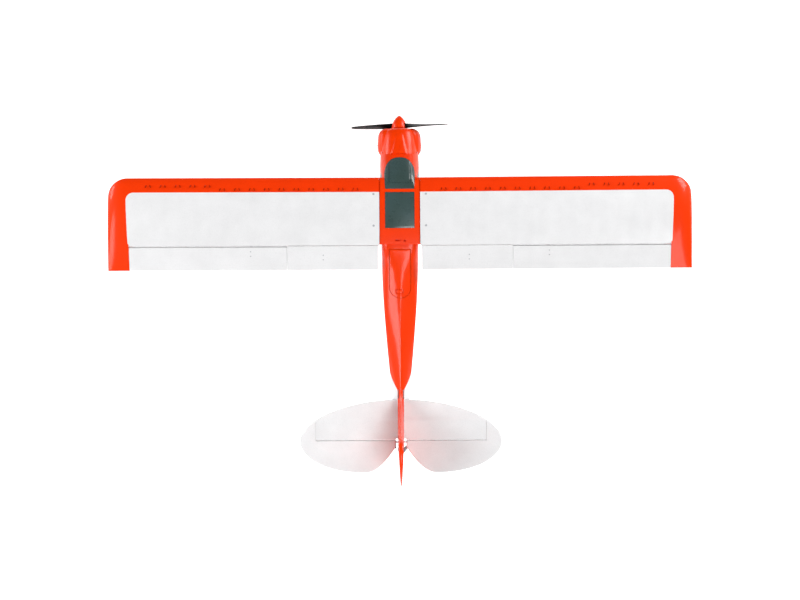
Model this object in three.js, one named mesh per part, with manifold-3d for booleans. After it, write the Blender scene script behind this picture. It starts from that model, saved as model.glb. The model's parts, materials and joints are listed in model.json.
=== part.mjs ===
// A high-wing, tail-wheel radio-control airplane moulded in foam, standing on its three wheels.
//
// It is drawn in the airplane's own level frame, in millimetres: +X towards the left wing tip,
// +Y aft, +Z up, with the propeller shaft on y at z = 0. The last section tilts it on to its
// wheels and puts the origin on the ground under the middle of its box.

import * as THREE from "three";
import { mergeVertices } from "three/addons/utils/BufferGeometryUtils.js";
import Module from "manifold-3d";

// ---------------------------------------------------------------- driving dimensions

const GAP = 0.3; // clearance between two pieces that meet

const WING = {
  tip: 650, root: 46.8, nose: -273.5, chord: 206.5, height: 60, dihedral: 2, low: -4,
  thickness: 0.123, camber: 0.03, camberAt: 0.4, edge: 2, tipCorner: 44, tipRise: 35, tipEdge: 0.25,
};
const HINGE_Y = -120.5; // hinge line of the flaps and ailerons
// span of each surface, and how far it turns up and down with 1 or 2 degrees to spare
const AILERON = { inner: 253.5, outer: 602, up: 22, down: 22, gap: 1 };
const FLAP = { inner: 49, outer: 251, up: 2, down: 41 };
const LINKAGE = { arm: 17, run: 62, plate: 1.6, plateAt: 1.2, wire: 0.8, hole: 1.3 };
const HORN = { foot: 15, base: 1.8, baseDrop: 1.4, wide: 10 };
const HORNS = { // the plane each linkage swings in, and how far behind the hinge its horn stands
  left: { aileron: { x: 331, back: 9.5 }, flap: { x: 169.5, back: 18 } },
  right: { aileron: { x: 331, back: 9.5 }, flap: { x: 153, back: 18 } },
};
const SERVO = { length: 23, width: 12.2, height: 23, earAt: 4, ear: 2, earReach: 4.5, shaft: 6 };

const NOSE = { front: -389, back: -329.6, wall: 2.2 };
const FUSELAGE = { front: -329, back: 329, wall: 6, cavityEnd: 190, seam: 0.15 };
const CENTRE = { half: 46, back: -123.5 }; // the wing's centre section, moulded with the cabin

// y, half width, belly, height of the widest point, roof, roof power, one row for each station
const STATIONS = [
  [-329, 43.4, -51, -5, 41, 2.4],
  [-300, 44.3, -56, -2, 57, 2.8],
  [-271, 44.5, -59, 0, 70.5, 4],
  [-247, 44.5, -59.5, 2, 75, 7],
  [-165, 44.2, -58.5, 4, 74, 7],
  [-126, 42, -56, 12, 70.5, 6],
  [-95, 41.3, -53, 28, 66, 3],
  [-62, 40.5, -49.5, 36, 62.5, 1.7],
  [0, 37.8, -40, 35, 57, 1.3],
  [106, 30, -25.5, 25, 47.5, 1.15],
  [166, 24.5, -16.5, 20, 42, 1.15],
  [226, 19.5, -8.5, 16, 37.5, 1.2],
  [300, 9.5, -1, 14, 34, 1.6],
  [329, 5, 2, 14, 33, 1.8],
];
const BELLY_POWER = 4.5;

const GLASS = { half: 34, front: -320, square: -277, back: -247.2, backHalf: 32.2, thick: 2 };
const SKYLIGHT = { half: 32.5, front: -239.4, back: -159.5 };
const SIDE_GLASS = { front: -303, back: -142, low: 8, high: 51, rake: 26, thick: 2 };
const HATCH = { half: 23.5, front: -112, back: -3.5, thick: 5 };
const DOOR = { half: 27, front: -186, back: -92, thick: 5, sill: -59.2 };

const TAIL = {
  half: 229, front: 226, widest: 320, back: 392, height: 26, thick: 8, hinge: 318,
  balance: 193, backMiddle: 85, power: 1.9, cutIn: 12, cutBack: 15, turn: 25,
};
const FIN = { front: 204, top: 138, foot: 14.5, thick: 8, hinge: 331 };
const RUDDER = { thick: 11, edge: 3, bottom: 0, back: 418, horn: 18.5, turn: 30 };
const ELEVATOR_HORN = { x: 14, drop: 15 };
const RUDDER_ROD_Z = 8;
const ROD_FRONT = -31;

const PROP = { radius: 114.3, pitch: 114.3, y: -396, turned: 15, hub: 6.5 };
const SPINNER = { radius: 17.5, back: -390.3, tip: -420.5, wall: 1.4, slot: 9.5 };
const MOTOR = { radius: 14, front: -385, back: -361, shaft: 2.5 };
const FIREWALL_Y = -327;

const WHEEL = { x: 135, y: -236, z: -150, radius: 50, width: 42, rim: 23, sides: 24, axle: 2 };
const TAIL_WHEEL = { y: 352, z: -52, radius: 13, width: 8, sides: 16, wire: 0.9 };
const BELLY_PLATE = { front: -272, back: -190, half: 34, top: -60, thick: 3 };
const STRUT = { foot: [45.5, -222, -44], x: 332, frontY: -240, backY: -152, long: 9, wide: 4, jury: 0.62 };
const SPAR = { radius: 4, half: 150, y: -205, z: 65 };

// ---------------------------------------------------------------- materials

const paint = (color, roughness, metalness = 0) =>
  new THREE.MeshStandardMaterial({ color, roughness, metalness });
const ORANGE = paint(0xf23a0c, 0.45);
const WHITE = paint(0xe9e9ea, 0.55);
const BLACK = paint(0x151515, 0.4);
const TINT = paint(0x2f4448, 0.15);
const RUBBER = paint(0x1b1b1c, 0.85);
const STEEL = paint(0xb9bcc0, 0.3, 1);
const WOOD = paint(0xb48a5a, 0.8);
const BLUE = paint(0x27408b, 0.5);
const NYLON = paint(0xf1f1ee, 0.5);

// ---------------------------------------------------------------- solids

const wasm = await Module();
wasm.setup();
const { Vector2, Vector3 } = THREE;
const radians = THREE.MathUtils.degToRad;
const v3 = (x, y, z) => new Vector3(x, y, z);

/** A closed three.js geometry as a manifold-3d solid whose faces point out. */
function solid(geometry) {
  const bare = geometry.index ? geometry.toNonIndexed() : geometry.clone();
  bare.deleteAttribute("normal");
  bare.deleteAttribute("uv");
  const merged = mergeVertices(bare, 1e-3);
  const faces = [];
  for (let i = 0; i < merged.index.count; i += 3) {
    const [a, b, c] = [0, 1, 2].map((k) => merged.index.getX(i + k));
    if (a !== b && b !== c && c !== a) faces.push([a, b, c]);
  }
  const made = (list) =>
    new wasm.Manifold(
      new wasm.Mesh({
        numProp: 3,
        vertProperties: merged.attributes.position.array,
        triVerts: new Uint32Array(list.flat()),
      }),
    );
  const first = made(faces);
  return first.volume() > 0 ? first : made(faces.map(([a, b, c]) => [a, c, b]));
}

const join = (...solids) => solids.reduce((all, next) => all.add(next));
const cut = (body, ...tools) => tools.reduce((left, tool) => left.subtract(tool), body);

/** A manifold-3d solid as a three.js geometry. */
function geometryOf(shape) {
  const { numProp, vertProperties, triVerts, numVert } = shape.getMesh();
  const points = new Float32Array(numVert * 3);
  for (let i = 0; i < numVert; i++)
    points.set(vertProperties.subarray(i * numProp, i * numProp + 3), i * 3);
  const geometry = new THREE.BufferGeometry();
  geometry.setAttribute("position", new THREE.BufferAttribute(points, 3));
  geometry.setIndex(new THREE.BufferAttribute(new Uint32Array(triVerts), 1));
  geometry.computeVertexNormals();
  return geometry;
}

/** A box between two corners. */
function box(x0, x1, y0, y1, z0, z1) {
  const made = new THREE.BoxGeometry(x1 - x0, y1 - y0, z1 - z0);
  return solid(made.translate((x0 + x1) / 2, (y0 + y1) / 2, (z0 + z1) / 2));
}

/** A closed skin through rings of points, each ring a list of Vector3 of the same length. */
function loft(rings) {
  const points = rings.flat();
  const count = rings[0].length;
  const faces = [];
  for (let r = 0; r + 1 < rings.length; r++)
    for (let i = 0; i < count; i++) {
      const [a, b] = [r * count + i, r * count + ((i + 1) % count)];
      faces.push(a, b, b + count, a, b + count, a + count);
    }
  for (const start of [0, (rings.length - 1) * count]) {
    const middle = points.slice(start, start + count).reduce((sum, p) => sum.add(p), v3(0, 0, 0));
    points.push(middle.divideScalar(count));
    for (let i = 0; i < count; i++) {
      const edge = [start + i, start + ((i + 1) % count)];
      if (start === 0) edge.reverse();
      faces.push(points.length - 1, ...edge);
    }
  }
  const geometry = new THREE.BufferGeometry().setFromPoints(points);
  return solid(geometry.setIndex(faces));
}

/** An outline of [y, z] points, pushed along x from x0 to x1. */
function slabX(outline, x0, x1) {
  const shape = new THREE.Shape(outline.map(([y, z]) => new Vector2(y, z)));
  const made = new THREE.ExtrudeGeometry(shape, { depth: x1 - x0, bevelEnabled: false });
  made.rotateY(Math.PI / 2).rotateX(Math.PI / 2); // the shape's x to y, its y to z, its depth to x
  return solid(made.translate(x0, 0, 0));
}

/** An outline of [x, y] points, pushed up z from z0 to z1. */
function slabZ(outline, z0, z1) {
  const shape = new THREE.Shape(outline.map(([x, y]) => new Vector2(x, y)));
  const made = new THREE.ExtrudeGeometry(shape, { depth: z1 - z0, bevelEnabled: false });
  return solid(made.translate(0, 0, z0));
}

/** A straight bar from a to b; its section is an ellipse, `long` half wide towards `towards`. */
function bar(a, b, across, long = across, sides = 8, towards = v3(0, 1, 0)) {
  const run = b.clone().sub(a);
  const along = run.clone().normalize();
  const side = along.clone().cross(towards).normalize();
  const flat = side.clone().cross(along);
  const made = new THREE.CylinderGeometry(1, 1, run.length(), sides);
  made.scale(across, 1, long);
  made.applyMatrix4(new THREE.Matrix4().makeBasis(side, along, flat));
  return solid(made.translate(...a.clone().add(b).divideScalar(2).toArray()));
}
const pin = (a, b, radius, sides = 10) => bar(v3(...a), v3(...b), radius, radius, sides, v3(0.3, 0.5, 0.8));

/** A bent wire through points. */
function wire(points, radius, steps) {
  const path = new THREE.CatmullRomCurve3(points.map((p) => v3(...p)), false, "centripetal");
  const round = new THREE.Shape().absarc(0, 0, radius, 0, 2 * Math.PI);
  const sides = 2; // per quarter of the circle
  const settings = { steps, curveSegments: 4 * sides, bevelEnabled: false, extrudePath: path };
  return solid(new THREE.ExtrudeGeometry(round, settings));
}

/** A body turned about the y axis from [radius, y] points that start and end on it. */
function turnedY(profile, sides) {
  return solid(new THREE.LatheGeometry(profile.map(([r, y]) => new Vector2(r, y)), sides));
}

/** A ring turned about the x axis from a closed list of [radius, x] points. */
function turnedX(profile, sides) {
  const outline = [...profile, profile[0]].map(([r, x]) => new Vector2(r, x));
  return solid(new THREE.LatheGeometry(outline, sides).rotateZ(-Math.PI / 2));
}

/** A smooth curve through a table's rows: gives every column at the value asked of the first. */
function through(table) {
  const columns = table[0].length;
  const slope = (r, c) => (table[r + 1][c] - table[r][c]) / (table[r + 1][0] - table[r][0]);
  const tangent = (r, c) => {
    if (r === 0) return slope(0, c);
    if (r === table.length - 1) return slope(r - 1, c);
    const [before, after] = [slope(r - 1, c), slope(r, c)];
    return before * after <= 0 ? 0 : (2 * before * after) / (before + after);
  };
  return (at) => {
    let r = table.findIndex((row) => row[0] > at) - 1;
    if (r < 0) r = at < table[0][0] ? 0 : table.length - 2;
    const step = table[r + 1][0] - table[r][0];
    const t = THREE.MathUtils.clamp((at - table[r][0]) / step, 0, 1);
    const row = [at];
    for (let c = 1; c < columns; c++)
      row.push(
        (2 * t ** 3 - 3 * t ** 2 + 1) * table[r][c] +
          (t ** 3 - 2 * t ** 2 + t) * step * tangent(r, c) +
          (3 * t ** 2 - 2 * t ** 3) * table[r + 1][c] +
          (t ** 3 - t ** 2) * step * tangent(r + 1, c),
      );
    return row;
  };
}

/** A ring at y: a superellipse above the widest height and another below it. */
function ovalRing(y, centre, half, low, high, lowPower, highPower, quarter = 5, x0 = 0) {
  const ring = [];
  for (let i = 0; i < 4 * quarter; i++) {
    const angle = (i * Math.PI) / (2 * quarter);
    const [c, s] = [Math.cos(angle), Math.sin(angle)];
    const power = s >= 0 ? highPower : lowPower;
    const reach = s >= 0 ? high - centre : centre - low;
    const shaped = (value) => Math.sign(value) * Math.abs(value) ** (2 / power);
    ring.push(v3(x0 + half * shaped(c), y, centre + reach * shaped(s)));
  }
  return ring;
}

// ---------------------------------------------------------------- the scene graph

const root = new THREE.Group();
const airframe = new THREE.Group();
root.add(airframe);

/** Adds a named mesh for a solid. The solid is drawn in the level frame, wherever its group is. */
function add(group, name, shape, material) {
  const mesh = new THREE.Mesh(geometryOf(shape), material);
  mesh.name = name;
  mesh.position.copy(group.userData.pivot ?? v3(0, 0, 0)).negate();
  group.add(mesh);
  return mesh;
}

/** A group whose origin lies on a joint; its name says which. */
function jointGroup(parent, name, pivot) {
  const group = new THREE.Group();
  group.name = name;
  group.userData.pivot = v3(...pivot);
  group.position.copy(group.userData.pivot).sub(parent.userData.pivot ?? v3(0, 0, 0));
  parent.add(group);
  return group;
}

// ---------------------------------------------------------------- wing sections

/** Height of the wing's upper (side 1) or lower (side -1) skin above its chord line. */
function skin(y, side) {
  const u = THREE.MathUtils.clamp((y - WING.nose) / WING.chord, 0, 1);
  const { camber: m, camberAt: p, thickness: t } = WING;
  const arc = 2 * p * u - u ** 2;
  const line = u < p ? (m / p ** 2) * arc : (m / (1 - p) ** 2) * (1 - 2 * p + arc);
  const shape = 0.2969 * Math.sqrt(u) - 0.126 * u - 0.3516 * u ** 2 + 0.2843 * u ** 3 - 0.1036 * u ** 4;
  return WING.chord * (line + side * 5 * t * shape) + side * (WING.edge / 2) * u;
}
const hingeHeight = (skin(HINGE_Y, 1) + skin(HINGE_Y, -1)) / 2;

/** The wing's section at x as a ring, from the trailing edge over the top and back underneath. */
function wingRing(x, perSide = 11) {
  const corner = WING.tip - WING.tipCorner;
  const round = (over, size) => Math.sqrt(1 - (THREE.MathUtils.clamp(over, 0, size) / size) ** 2);
  const nose = WING.nose + WING.tipCorner * (1 - round(x - corner, WING.tipCorner));
  const fade = round(x - (WING.tip - WING.tipRise), WING.tipRise);
  const depth = WING.tipEdge + (1 - WING.tipEdge) * fade;
  const back = WING.nose + WING.chord;
  const ring = [];
  for (let i = 0; i < 2 * perSide; i++) {
    const side = i < perSide ? 1 : -1;
    const step = side > 0 ? i : i - perSide + 1;
    const u = (1 + side * Math.cos((Math.PI * step) / perSide)) / 2;
    const full = skin(WING.nose + WING.chord * u, side);
    ring.push(v3(x, nose + (back - nose) * u, WING.low + (full - WING.low) * depth));
  }
  ring.push(v3(x, back, WING.low + (skin(back, -1) - WING.low) * depth));
  return ring;
}

const wingStations = [WING.root, 300, 590, 606, 618, 629, 638, 645, 648.7, WING.tip];
const wholeWing = () => loft(wingStations.map((x) => wingRing(x)));

/** The wing's part behind the hinge line over one surface's span, with a bevelled front edge. */
function movingSurface({ inner, outer, up, down }) {
  const [reach, spare] = [30, 3];
  const back = WING.nose + WING.chord + 10;
  const top = [HINGE_Y + reach * Math.tan(radians(up + spare)), hingeHeight + reach];
  const bottom = [HINGE_Y + reach * Math.tan(radians(down + spare)), hingeHeight - reach];
  const outline = [[HINGE_Y, hingeHeight], top, [back, top[1]], [back, bottom[1]], bottom];
  return wholeWing().intersect(slabX(outline, inner, outer));
}

// ---------------------------------------------------------------- linkages of the wing surfaces

const armPivot = [HINGE_Y - LINKAGE.run, skin(HINGE_Y - LINKAGE.run, -1) + SERVO.width / 2 + GAP];
const servoEnds = [armPivot[0] + SERVO.shaft - SERVO.length, armPivot[0] + SERVO.shaft];
const armHole = [armPivot[0], armPivot[1] - LINKAGE.arm];
const hornHole = [HINGE_Y, hingeHeight - LINKAGE.arm];

/** The hole in a horn or arm that a wire's end turns in. */
const hole = (x, [y, z], radius = LINKAGE.hole) => pin([x - 4, y, z], [x + 8, y, z], radius, 12);

/** A surface's horn: a plate under the skin that reaches forward to below the hinge. */
function surfaceHorn(x, stands) {
  const [first, last] = [stands, stands + HORN.foot];
  const under = (dy) => skin(HINGE_Y + dy, -1) - GAP;
  const [y, z] = hornHole;
  const outline = [
    [HINGE_Y + last, under(last)], [HINGE_Y + first, under(first)], [y - 2.6, z + 1.2],
    [y - 1.6, z - 2.2], [y + 1.6, z - 2.6], [y + 4, z - 0.4],
  ];
  const plate = slabX(outline, x + LINKAGE.plateAt, x + LINKAGE.plateAt + LINKAGE.plate);
  const middle = x + LINKAGE.plateAt + LINKAGE.plate / 2;
  const top = Math.min(under(first), under(last)) - HORN.baseDrop;
  const base = box(
    middle - HORN.wide / 2, middle + HORN.wide / 2,
    HINGE_Y + first, HINGE_Y + last, top - HORN.base, top,
  );
  return cut(join(plate, base), hole(x, hornHole));
}

/** A tapered servo arm hanging from its pivot, with a boss that sits on the servo's shaft. */
function servoArm(x) {
  const [y, z] = armPivot;
  const outline = [[y - 3.6, z + 2], [y - 2.2, armHole[1] - 1], [y, armHole[1] - 2.4]];
  outline.push([y + 2.2, armHole[1] - 1], [y + 3.6, z + 2], [y, z + 4]);
  const plate = slabX(outline, x + LINKAGE.plateAt, x + LINKAGE.plateAt + LINKAGE.plate);
  const boss = pin([x + 2, y, z], [x + 4.2, y, z], 3, 10);
  return cut(join(plate, boss), hole(x, armHole));
}

/** The wire from the arm to the horn, its ends bent through their holes. */
function pushrod(x) {
  const end = ([y, z]) => pin([x - LINKAGE.wire, y, z], [x + 4, y, z], LINKAGE.wire, 8);
  const run = pin([x, ...armHole], [x, ...hornHole], LINKAGE.wire, 8);
  return join(run, end(armHole), end(hornHole));
}

/** A micro servo on its side, its mounting ears at the ends and its shaft towards the arm. */
function wingServo(x) {
  const [y, z] = armPivot;
  const [x0, x1] = [x + SERVO.shaft, x + SERVO.shaft + SERVO.height];
  const [front, back] = servoEnds;
  const half = SERVO.width / 2;
  const body = box(x0, x1, front, back, z - half, z + half);
  const ears = box(
    x0 + SERVO.earAt, x0 + SERVO.earAt + SERVO.ear,
    front - SERVO.earReach, back + SERVO.earReach, z - half, z + half,
  );
  return join(body, ears, pin([x + 4.6, y, z], [x0 + 1, y, z], 2.2, 10));
}

/** The recess under the wing for a servo, with room for its arm to swing. */
function servoPocket(x) {
  const [room, deep] = [0.6, 9];
  const z = armPivot[1];
  const half = SERVO.width / 2 + 0.5;
  const [front, back] = [servoEnds[0] - room, servoEnds[1] + room];
  const end = x + SERVO.shaft + SERVO.height + room;
  const bay = box(x - 1, end, front, back, z - half - deep, z + half);
  const earFront = x + SERVO.shaft + SERVO.earAt - room;
  const ears = box(
    earFront, earFront + SERVO.ear + 2 * room,
    front - SERVO.earReach, back + SERVO.earReach, z - half - deep, z + half,
  );
  return join(bay, ears);
}

/** One wing half with everything on it, drawn on the left; `group` mirrors it for the right. */
function buildWing(group, side) {
  const behind = box(WING.root - 1, AILERON.outer + AILERON.gap, HINGE_Y - GAP * 2, 0, -60, 60);
  const spar = sparTube(SPAR.radius + 0.4);
  const pockets = Object.values(HORNS[side]).map((horn) => servoPocket(horn.x));
  add(group, `wing_${side}`, cut(wholeWing(), behind, spar, ...pockets), WHITE);

  for (const [kind, surface] of [["aileron", AILERON], ["flap", FLAP]]) {
    const { x, back } = HORNS[side][kind];
    const moving = jointGroup(group, `${kind}_${side}`, [x, HINGE_Y, hingeHeight]);
    add(moving, `${kind}_${side}`, movingSurface(surface), WHITE);
    add(moving, `${kind}_horn_${side}`, surfaceHorn(x, back), NYLON);
    add(group, `${kind}_servo_${side}`, wingServo(x), BLUE);
    const arm = jointGroup(group, `${kind}_arm_${side}`, [x, ...armPivot]);
    add(arm, `${kind}_arm_${side}`, servoArm(x), NYLON);
    const rod = jointGroup(arm, `${kind}_rod_${side}`, [x, ...armHole]);
    add(rod, `${kind}_rod_${side}`, pushrod(x), STEEL);
  }
}

// ---------------------------------------------------------------- the wings' places

const tilt = -radians(WING.dihedral);

/** Puts a solid of the level frame into the tilted frame that the wing is drawn in. */
function intoWingFrame(geometry) {
  geometry.translate(-WING.root, 0, -WING.height).rotateY(-tilt);
  return geometry.translate(WING.root, 0, 0);
}

/** The carbon tube's left part as a tool for the wing, which lies tilted around it. */
function sparTube(radius) {
  const length = SPAR.half + 2;
  const made = new THREE.CylinderGeometry(radius, radius, length, 12).rotateZ(Math.PI / 2);
  return solid(intoWingFrame(made.translate(length / 2, SPAR.y, SPAR.z)));
}

/** The tilted group that one wing half is drawn in; the right one is the left one mirrored. */
function wingFrame(side) {
  const mirror = new THREE.Group();
  mirror.scale.x = side === "left" ? 1 : -1;
  const hinge = new THREE.Group();
  hinge.position.set(WING.root, 0, WING.height);
  hinge.rotation.y = tilt;
  const drawn = new THREE.Group();
  drawn.position.x = -WING.root;
  airframe.add(mirror);
  mirror.add(hinge);
  hinge.add(drawn);
  return drawn;
}
for (const side of ["left", "right"]) buildWing(wingFrame(side), side);

const spanRod = (radius, half) => pin([-half, SPAR.y, SPAR.z], [half, SPAR.y, SPAR.z], radius, 12);
add(airframe, "wing_spar_tube", cut(spanRod(SPAR.radius, SPAR.half), spanRod(SPAR.radius - 1, 200)), BLACK);

// ---------------------------------------------------------------- fuselage

const station = through(STATIONS);

/** The fuselage's outside, or with an inset a shape that far inside it, from y0 to y1. */
function hull(y0, y1, inset = 0) {
  const inner = STATIONS.map((row) => row[0]).filter((y) => y > y0 + 1 && y < y1 - 1);
  const rings = [y0, ...inner, y1].map((y) => {
    const [, half, belly, widest, roof, power] = station(y);
    return ovalRing(y, widest, half - inset, belly + inset, roof - inset, BELLY_POWER, power);
  });
  return loft(rings);
}

/** The wing's section carried across the cabin. */
function centreSection() {
  const count = 9;
  const side = (sign) =>
    Array.from({ length: count + 1 }, (_, i) => {
      const y = WING.nose + (CENTRE.back - WING.nose) * (1 - Math.cos((Math.PI * i) / (2 * count)));
      return [y, WING.height + skin(y, sign)];
    });
  return slabX([...side(-1), ...side(1).slice(1).reverse()], -CENTRE.half, CENTRE.half);
}

/** The fin's outline in [y, z], from the fuselage deck up its curved front to its flat back. */
function finOutline() {
  const front = new THREE.QuadraticBezierCurve(
    new Vector2(FIN.front, 30), new Vector2(FIN.front + 70, FIN.top - 44), new Vector2(300, FIN.top),
  );
  const back = FIN.hinge - GAP * 2;
  return [...front.getPoints(6).map((p) => [p.x, p.y]), [back, FIN.top], [back, 15]];
}

/** The fin: widest at its foot and thinner upwards. */
function fin() {
  const across = (z, half) => [v3(-half, 150, z), v3(half, 150, z), v3(half, 400, z), v3(-half, 400, z)];
  const taper = loft([across(10, FIN.foot / 2), across(FIN.top + 1, FIN.thick / 2)]);
  return slabX(finOutline(), -FIN.foot, FIN.foot).intersect(taper);
}
const outside = () => join(hull(FUSELAGE.front, FUSELAGE.back), centreSection());

/** The windscreen's outline from above: a rounded front and a square back. */
function windscreenOutline(grow) {
  const half = GLASS.half + grow;
  const length = GLASS.square - GLASS.front + grow;
  const points = [];
  for (let i = 0; i <= 12; i++) {
    const [c, s] = [Math.cos((i * Math.PI) / 12), Math.sin((i * Math.PI) / 12)];
    points.push([half * Math.sign(c) * Math.abs(c) ** 0.85, GLASS.square - length * s ** 0.85]);
  }
  const backHalf = GLASS.backHalf + grow;
  return [...points, [-backHalf, GLASS.back + grow], [backHalf, GLASS.back + grow]];
}

const skylightOutline = (grow) => {
  const half = SKYLIGHT.half + grow;
  const [front, back] = [SKYLIGHT.front - grow, SKYLIGHT.back + grow];
  return [[-half, front], [half, front], [half, back], [-half, back]];
};

/** The rear hatch from above: straight sides and a half-round back end. */
function hatchOutline(grow) {
  const half = HATCH.half + grow;
  const centre = HATCH.back - HATCH.half;
  const points = [[-half, HATCH.front - grow], [half, HATCH.front - grow]];
  for (let i = 0; i <= 8; i++)
    points.push([half * Math.cos((i * Math.PI) / 8), centre + half * Math.sin((i * Math.PI) / 8)]);
  return points;
}

/** The side window in [y, z]: raked at both ends. */
function sideGlassOutline(grow) {
  const { front, back, low, high, rake } = SIDE_GLASS;
  return [
    [front - grow, low - grow], [back - grow * 0.5, low - grow], [back + 16 + grow, low + 18],
    [back + 16 + grow, high - 14], [back + grow, high + grow], [front + rake - grow, high + grow],
  ];
}

const doorOutline = (grow) => {
  const [half, front, back] = [DOOR.half + grow, DOOR.front - grow, DOOR.back + grow];
  return [[-half, front], [half, front], [half, back], [-half, back]];
};

/** A solid moved aside, to leave a sheet when it is cut from the same solid in place. */
function moved(shape, x, y, z) {
  return solid(geometryOf(shape).translate(x, y, z));
}

const sideCut = (grow, sign) => slabX(sideGlassOutline(grow), sign > 0 ? 30 : -60, sign > 0 ? 60 : -30);
const tailSlot = () => {
  const half = TAIL.thick / 2 + GAP;
  const outline = tailplaneOutline(GAP);
  return slabZ(outline, TAIL.height - half, TAIL.height + half);
};

/** The y of the tailplane's rounded front edge, out at x from the middle. */
function tailEdge(x) {
  const deep = TAIL.widest - TAIL.front;
  return TAIL.widest - deep * (1 - (Math.abs(x) / TAIL.half) ** TAIL.power) ** (1 / TAIL.power);
}

/** The stabiliser's plan in [x, y], grown outwards for the slot that holds it. */
function tailplaneOutline(grow = 0) {
  const half = TAIL.balance - 1;
  const points = [];
  for (let i = -7; i <= 7; i++) {
    const x = half * Math.sin((i * Math.PI) / 14);
    points.push([x, tailEdge(x) - grow]);
  }
  const back = TAIL.hinge - GAP * 2 + grow;
  return [...points, [half, back], [-half, back]];
}

/** Room for the pushrods that leave the fuselage beside the tail. */
const rodTunnels = () => [
  box(ELEVATOR_HORN.x - 3.4, ELEVATOR_HORN.x + 6, 150, 340, TAIL.height - ELEVATOR_HORN.drop - 1.5,
    TAIL.height - ELEVATOR_HORN.drop + 3.2),
  box(-RUDDER.horn - 2, -RUDDER.horn + 4.4, 130, 340, RUDDER_ROD_Z - 2, RUDDER_ROD_Z + 2.6),
];

/** The whole moulding, before it is parted along its middle. */
function fuselage() {
  const notch = box(-30, 30, TAIL.hinge - 8, 340, TAIL.height - 9, TAIL.height + 9);
  const glass = slabZ(windscreenOutline(GAP), 30, 90);
  const roofGlass = slabZ(skylightOutline(GAP), 30, 90);
  const shell = cut(
    join(outside(), fin()),
    hull(FUSELAGE.front - 2, FUSELAGE.cavityEnd, FUSELAGE.wall),
    glass, roofGlass,
    slabZ(hatchOutline(GAP), 30, 90),
    slabZ(doorOutline(GAP), -70, -20),
    sideCut(GAP, 1), sideCut(GAP, -1),
    tailSlot(), notch, ...rodTunnels(),
    pin([-80, SPAR.y, SPAR.z], [80, SPAR.y, SPAR.z], SPAR.radius + 0.5, 12),
  );
  return shell;
}

const whole = fuselage();
const half = (sign) => {
  const [a, b] = [FUSELAGE.seam * sign, 80 * sign];
  return whole.intersect(box(Math.min(a, b), Math.max(a, b), -400, 400, -100, 200));
};
const largest = (shape) => shape.decompose().sort((a, b) => b.volume() - a.volume())[0];
add(airframe, "fuselage_left", largest(half(1)), ORANGE);
add(airframe, "fuselage_right", largest(half(-1)), ORANGE);

const sheet = (region, x, y, z) => largest(cut(outside(), moved(outside(), x, y, z)).intersect(region));
const glassDrop = [0, GLASS.thick * 0.45, -GLASS.thick * 0.9];
add(airframe, "windshield", sheet(slabZ(windscreenOutline(0), 30, 90), ...glassDrop), TINT);
add(airframe, "skylight", sheet(slabZ(skylightOutline(0), 50, 90), 0, 0, -GLASS.thick), TINT);
for (const [side, sign] of [["left", 1], ["right", -1]])
  add(airframe, `side_window_${side}`, sheet(sideCut(0, sign), -sign * SIDE_GLASS.thick, 0, 0), TINT);

const hatchLift = jointGroup(airframe, "top_hatch", [0, (HATCH.front + HATCH.back) / 2, 60]);
add(hatchLift, "top_hatch", sheet(slabZ(hatchOutline(0), 40, 90), 0, 0, -HATCH.thick), ORANGE);
const doorHinge = jointGroup(airframe, "battery_door", [0, DOOR.front, DOOR.sill]);
add(doorHinge, "battery_door", sheet(slabZ(doorOutline(0), -70, -30), 0, 0, DOOR.thick), WHITE);

// ---------------------------------------------------------------- cowl, motor and propeller

/** The nose bowl: a tapering body with a swollen cheek on each side of it. */
function cowlForm(inset, front, back) {
  const body = through([
    [-389, 27, -33, -4, 23], [-384, 34, -41, -4, 29], [-370, 38.5, -46, -5, 34], [-329.6, 43.4, -51, -5, 41],
  ]);
  const cheek = through([
    [-389, 12, 17, 25], [-384, 17, 22.5, 27], [-373, 20.5, 25, 28], [-350, 21, 24.5, 28.8],
    [-338, 19.5, 22, 28.7], [-329.6, 15, 18, 28],
  ]);
  const ys = [front, -384, -373, -350, -338, back];
  const middle = loft(
    ys.map((y) => {
      const [, half, low, centre, high] = body(y);
      return ovalRing(y, centre, half - inset, low + inset, high - inset, 2.8, 2.4);
    }),
  );
  const cheeks = [1, -1].map((sign) =>
    loft(
      ys.map((y) => {
        const [, across, up, x] = cheek(y);
        return ovalRing(y, -4, across - inset, -4 - up + inset, -4 + up - inset, 2.2, 2.2, 3, sign * x);
      }),
    ),
  );
  return join(middle, ...cheeks);
}
const inlets = [1, -1].map((sign) => pin([sign * 30, -400, -4], [sign * 30, -375, -4], 9.5, 12));
add(
  airframe, "cowl",
  cut(
    cowlForm(0, NOSE.front, NOSE.back),
    cowlForm(NOSE.wall, NOSE.front + NOSE.wall, NOSE.back + 1),
    pin([0, -400, 0], [0, -375, 0], 13, 16),
    ...inlets,
  ),
  ORANGE,
);

const firewall = box(-28, 28, FIREWALL_Y, FIREWALL_Y + 4, -32, 22);
const standoff = turnedY(
  [[0, -352], [11, -352], [11, -348], [7, -346], [7, FIREWALL_Y + 1], [0, FIREWALL_Y + 1]], 12,
);
add(airframe, "motor_mount", join(firewall, standoff), WOOD);
add(
  airframe, "motor_stator",
  cut(
    turnedY([[0, -383], [8, -383], [8, -359], [12, -359], [12, -352.4], [0, -352.4]], 12),
    pin([0, -390, 0], [0, -340, 0], MOTOR.shaft + 0.4, 10),
  ),
  STEEL,
);

const spin = jointGroup(airframe, "propeller", [0, PROP.y, 0]);
spin.rotation.y = radians(PROP.turned);

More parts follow.
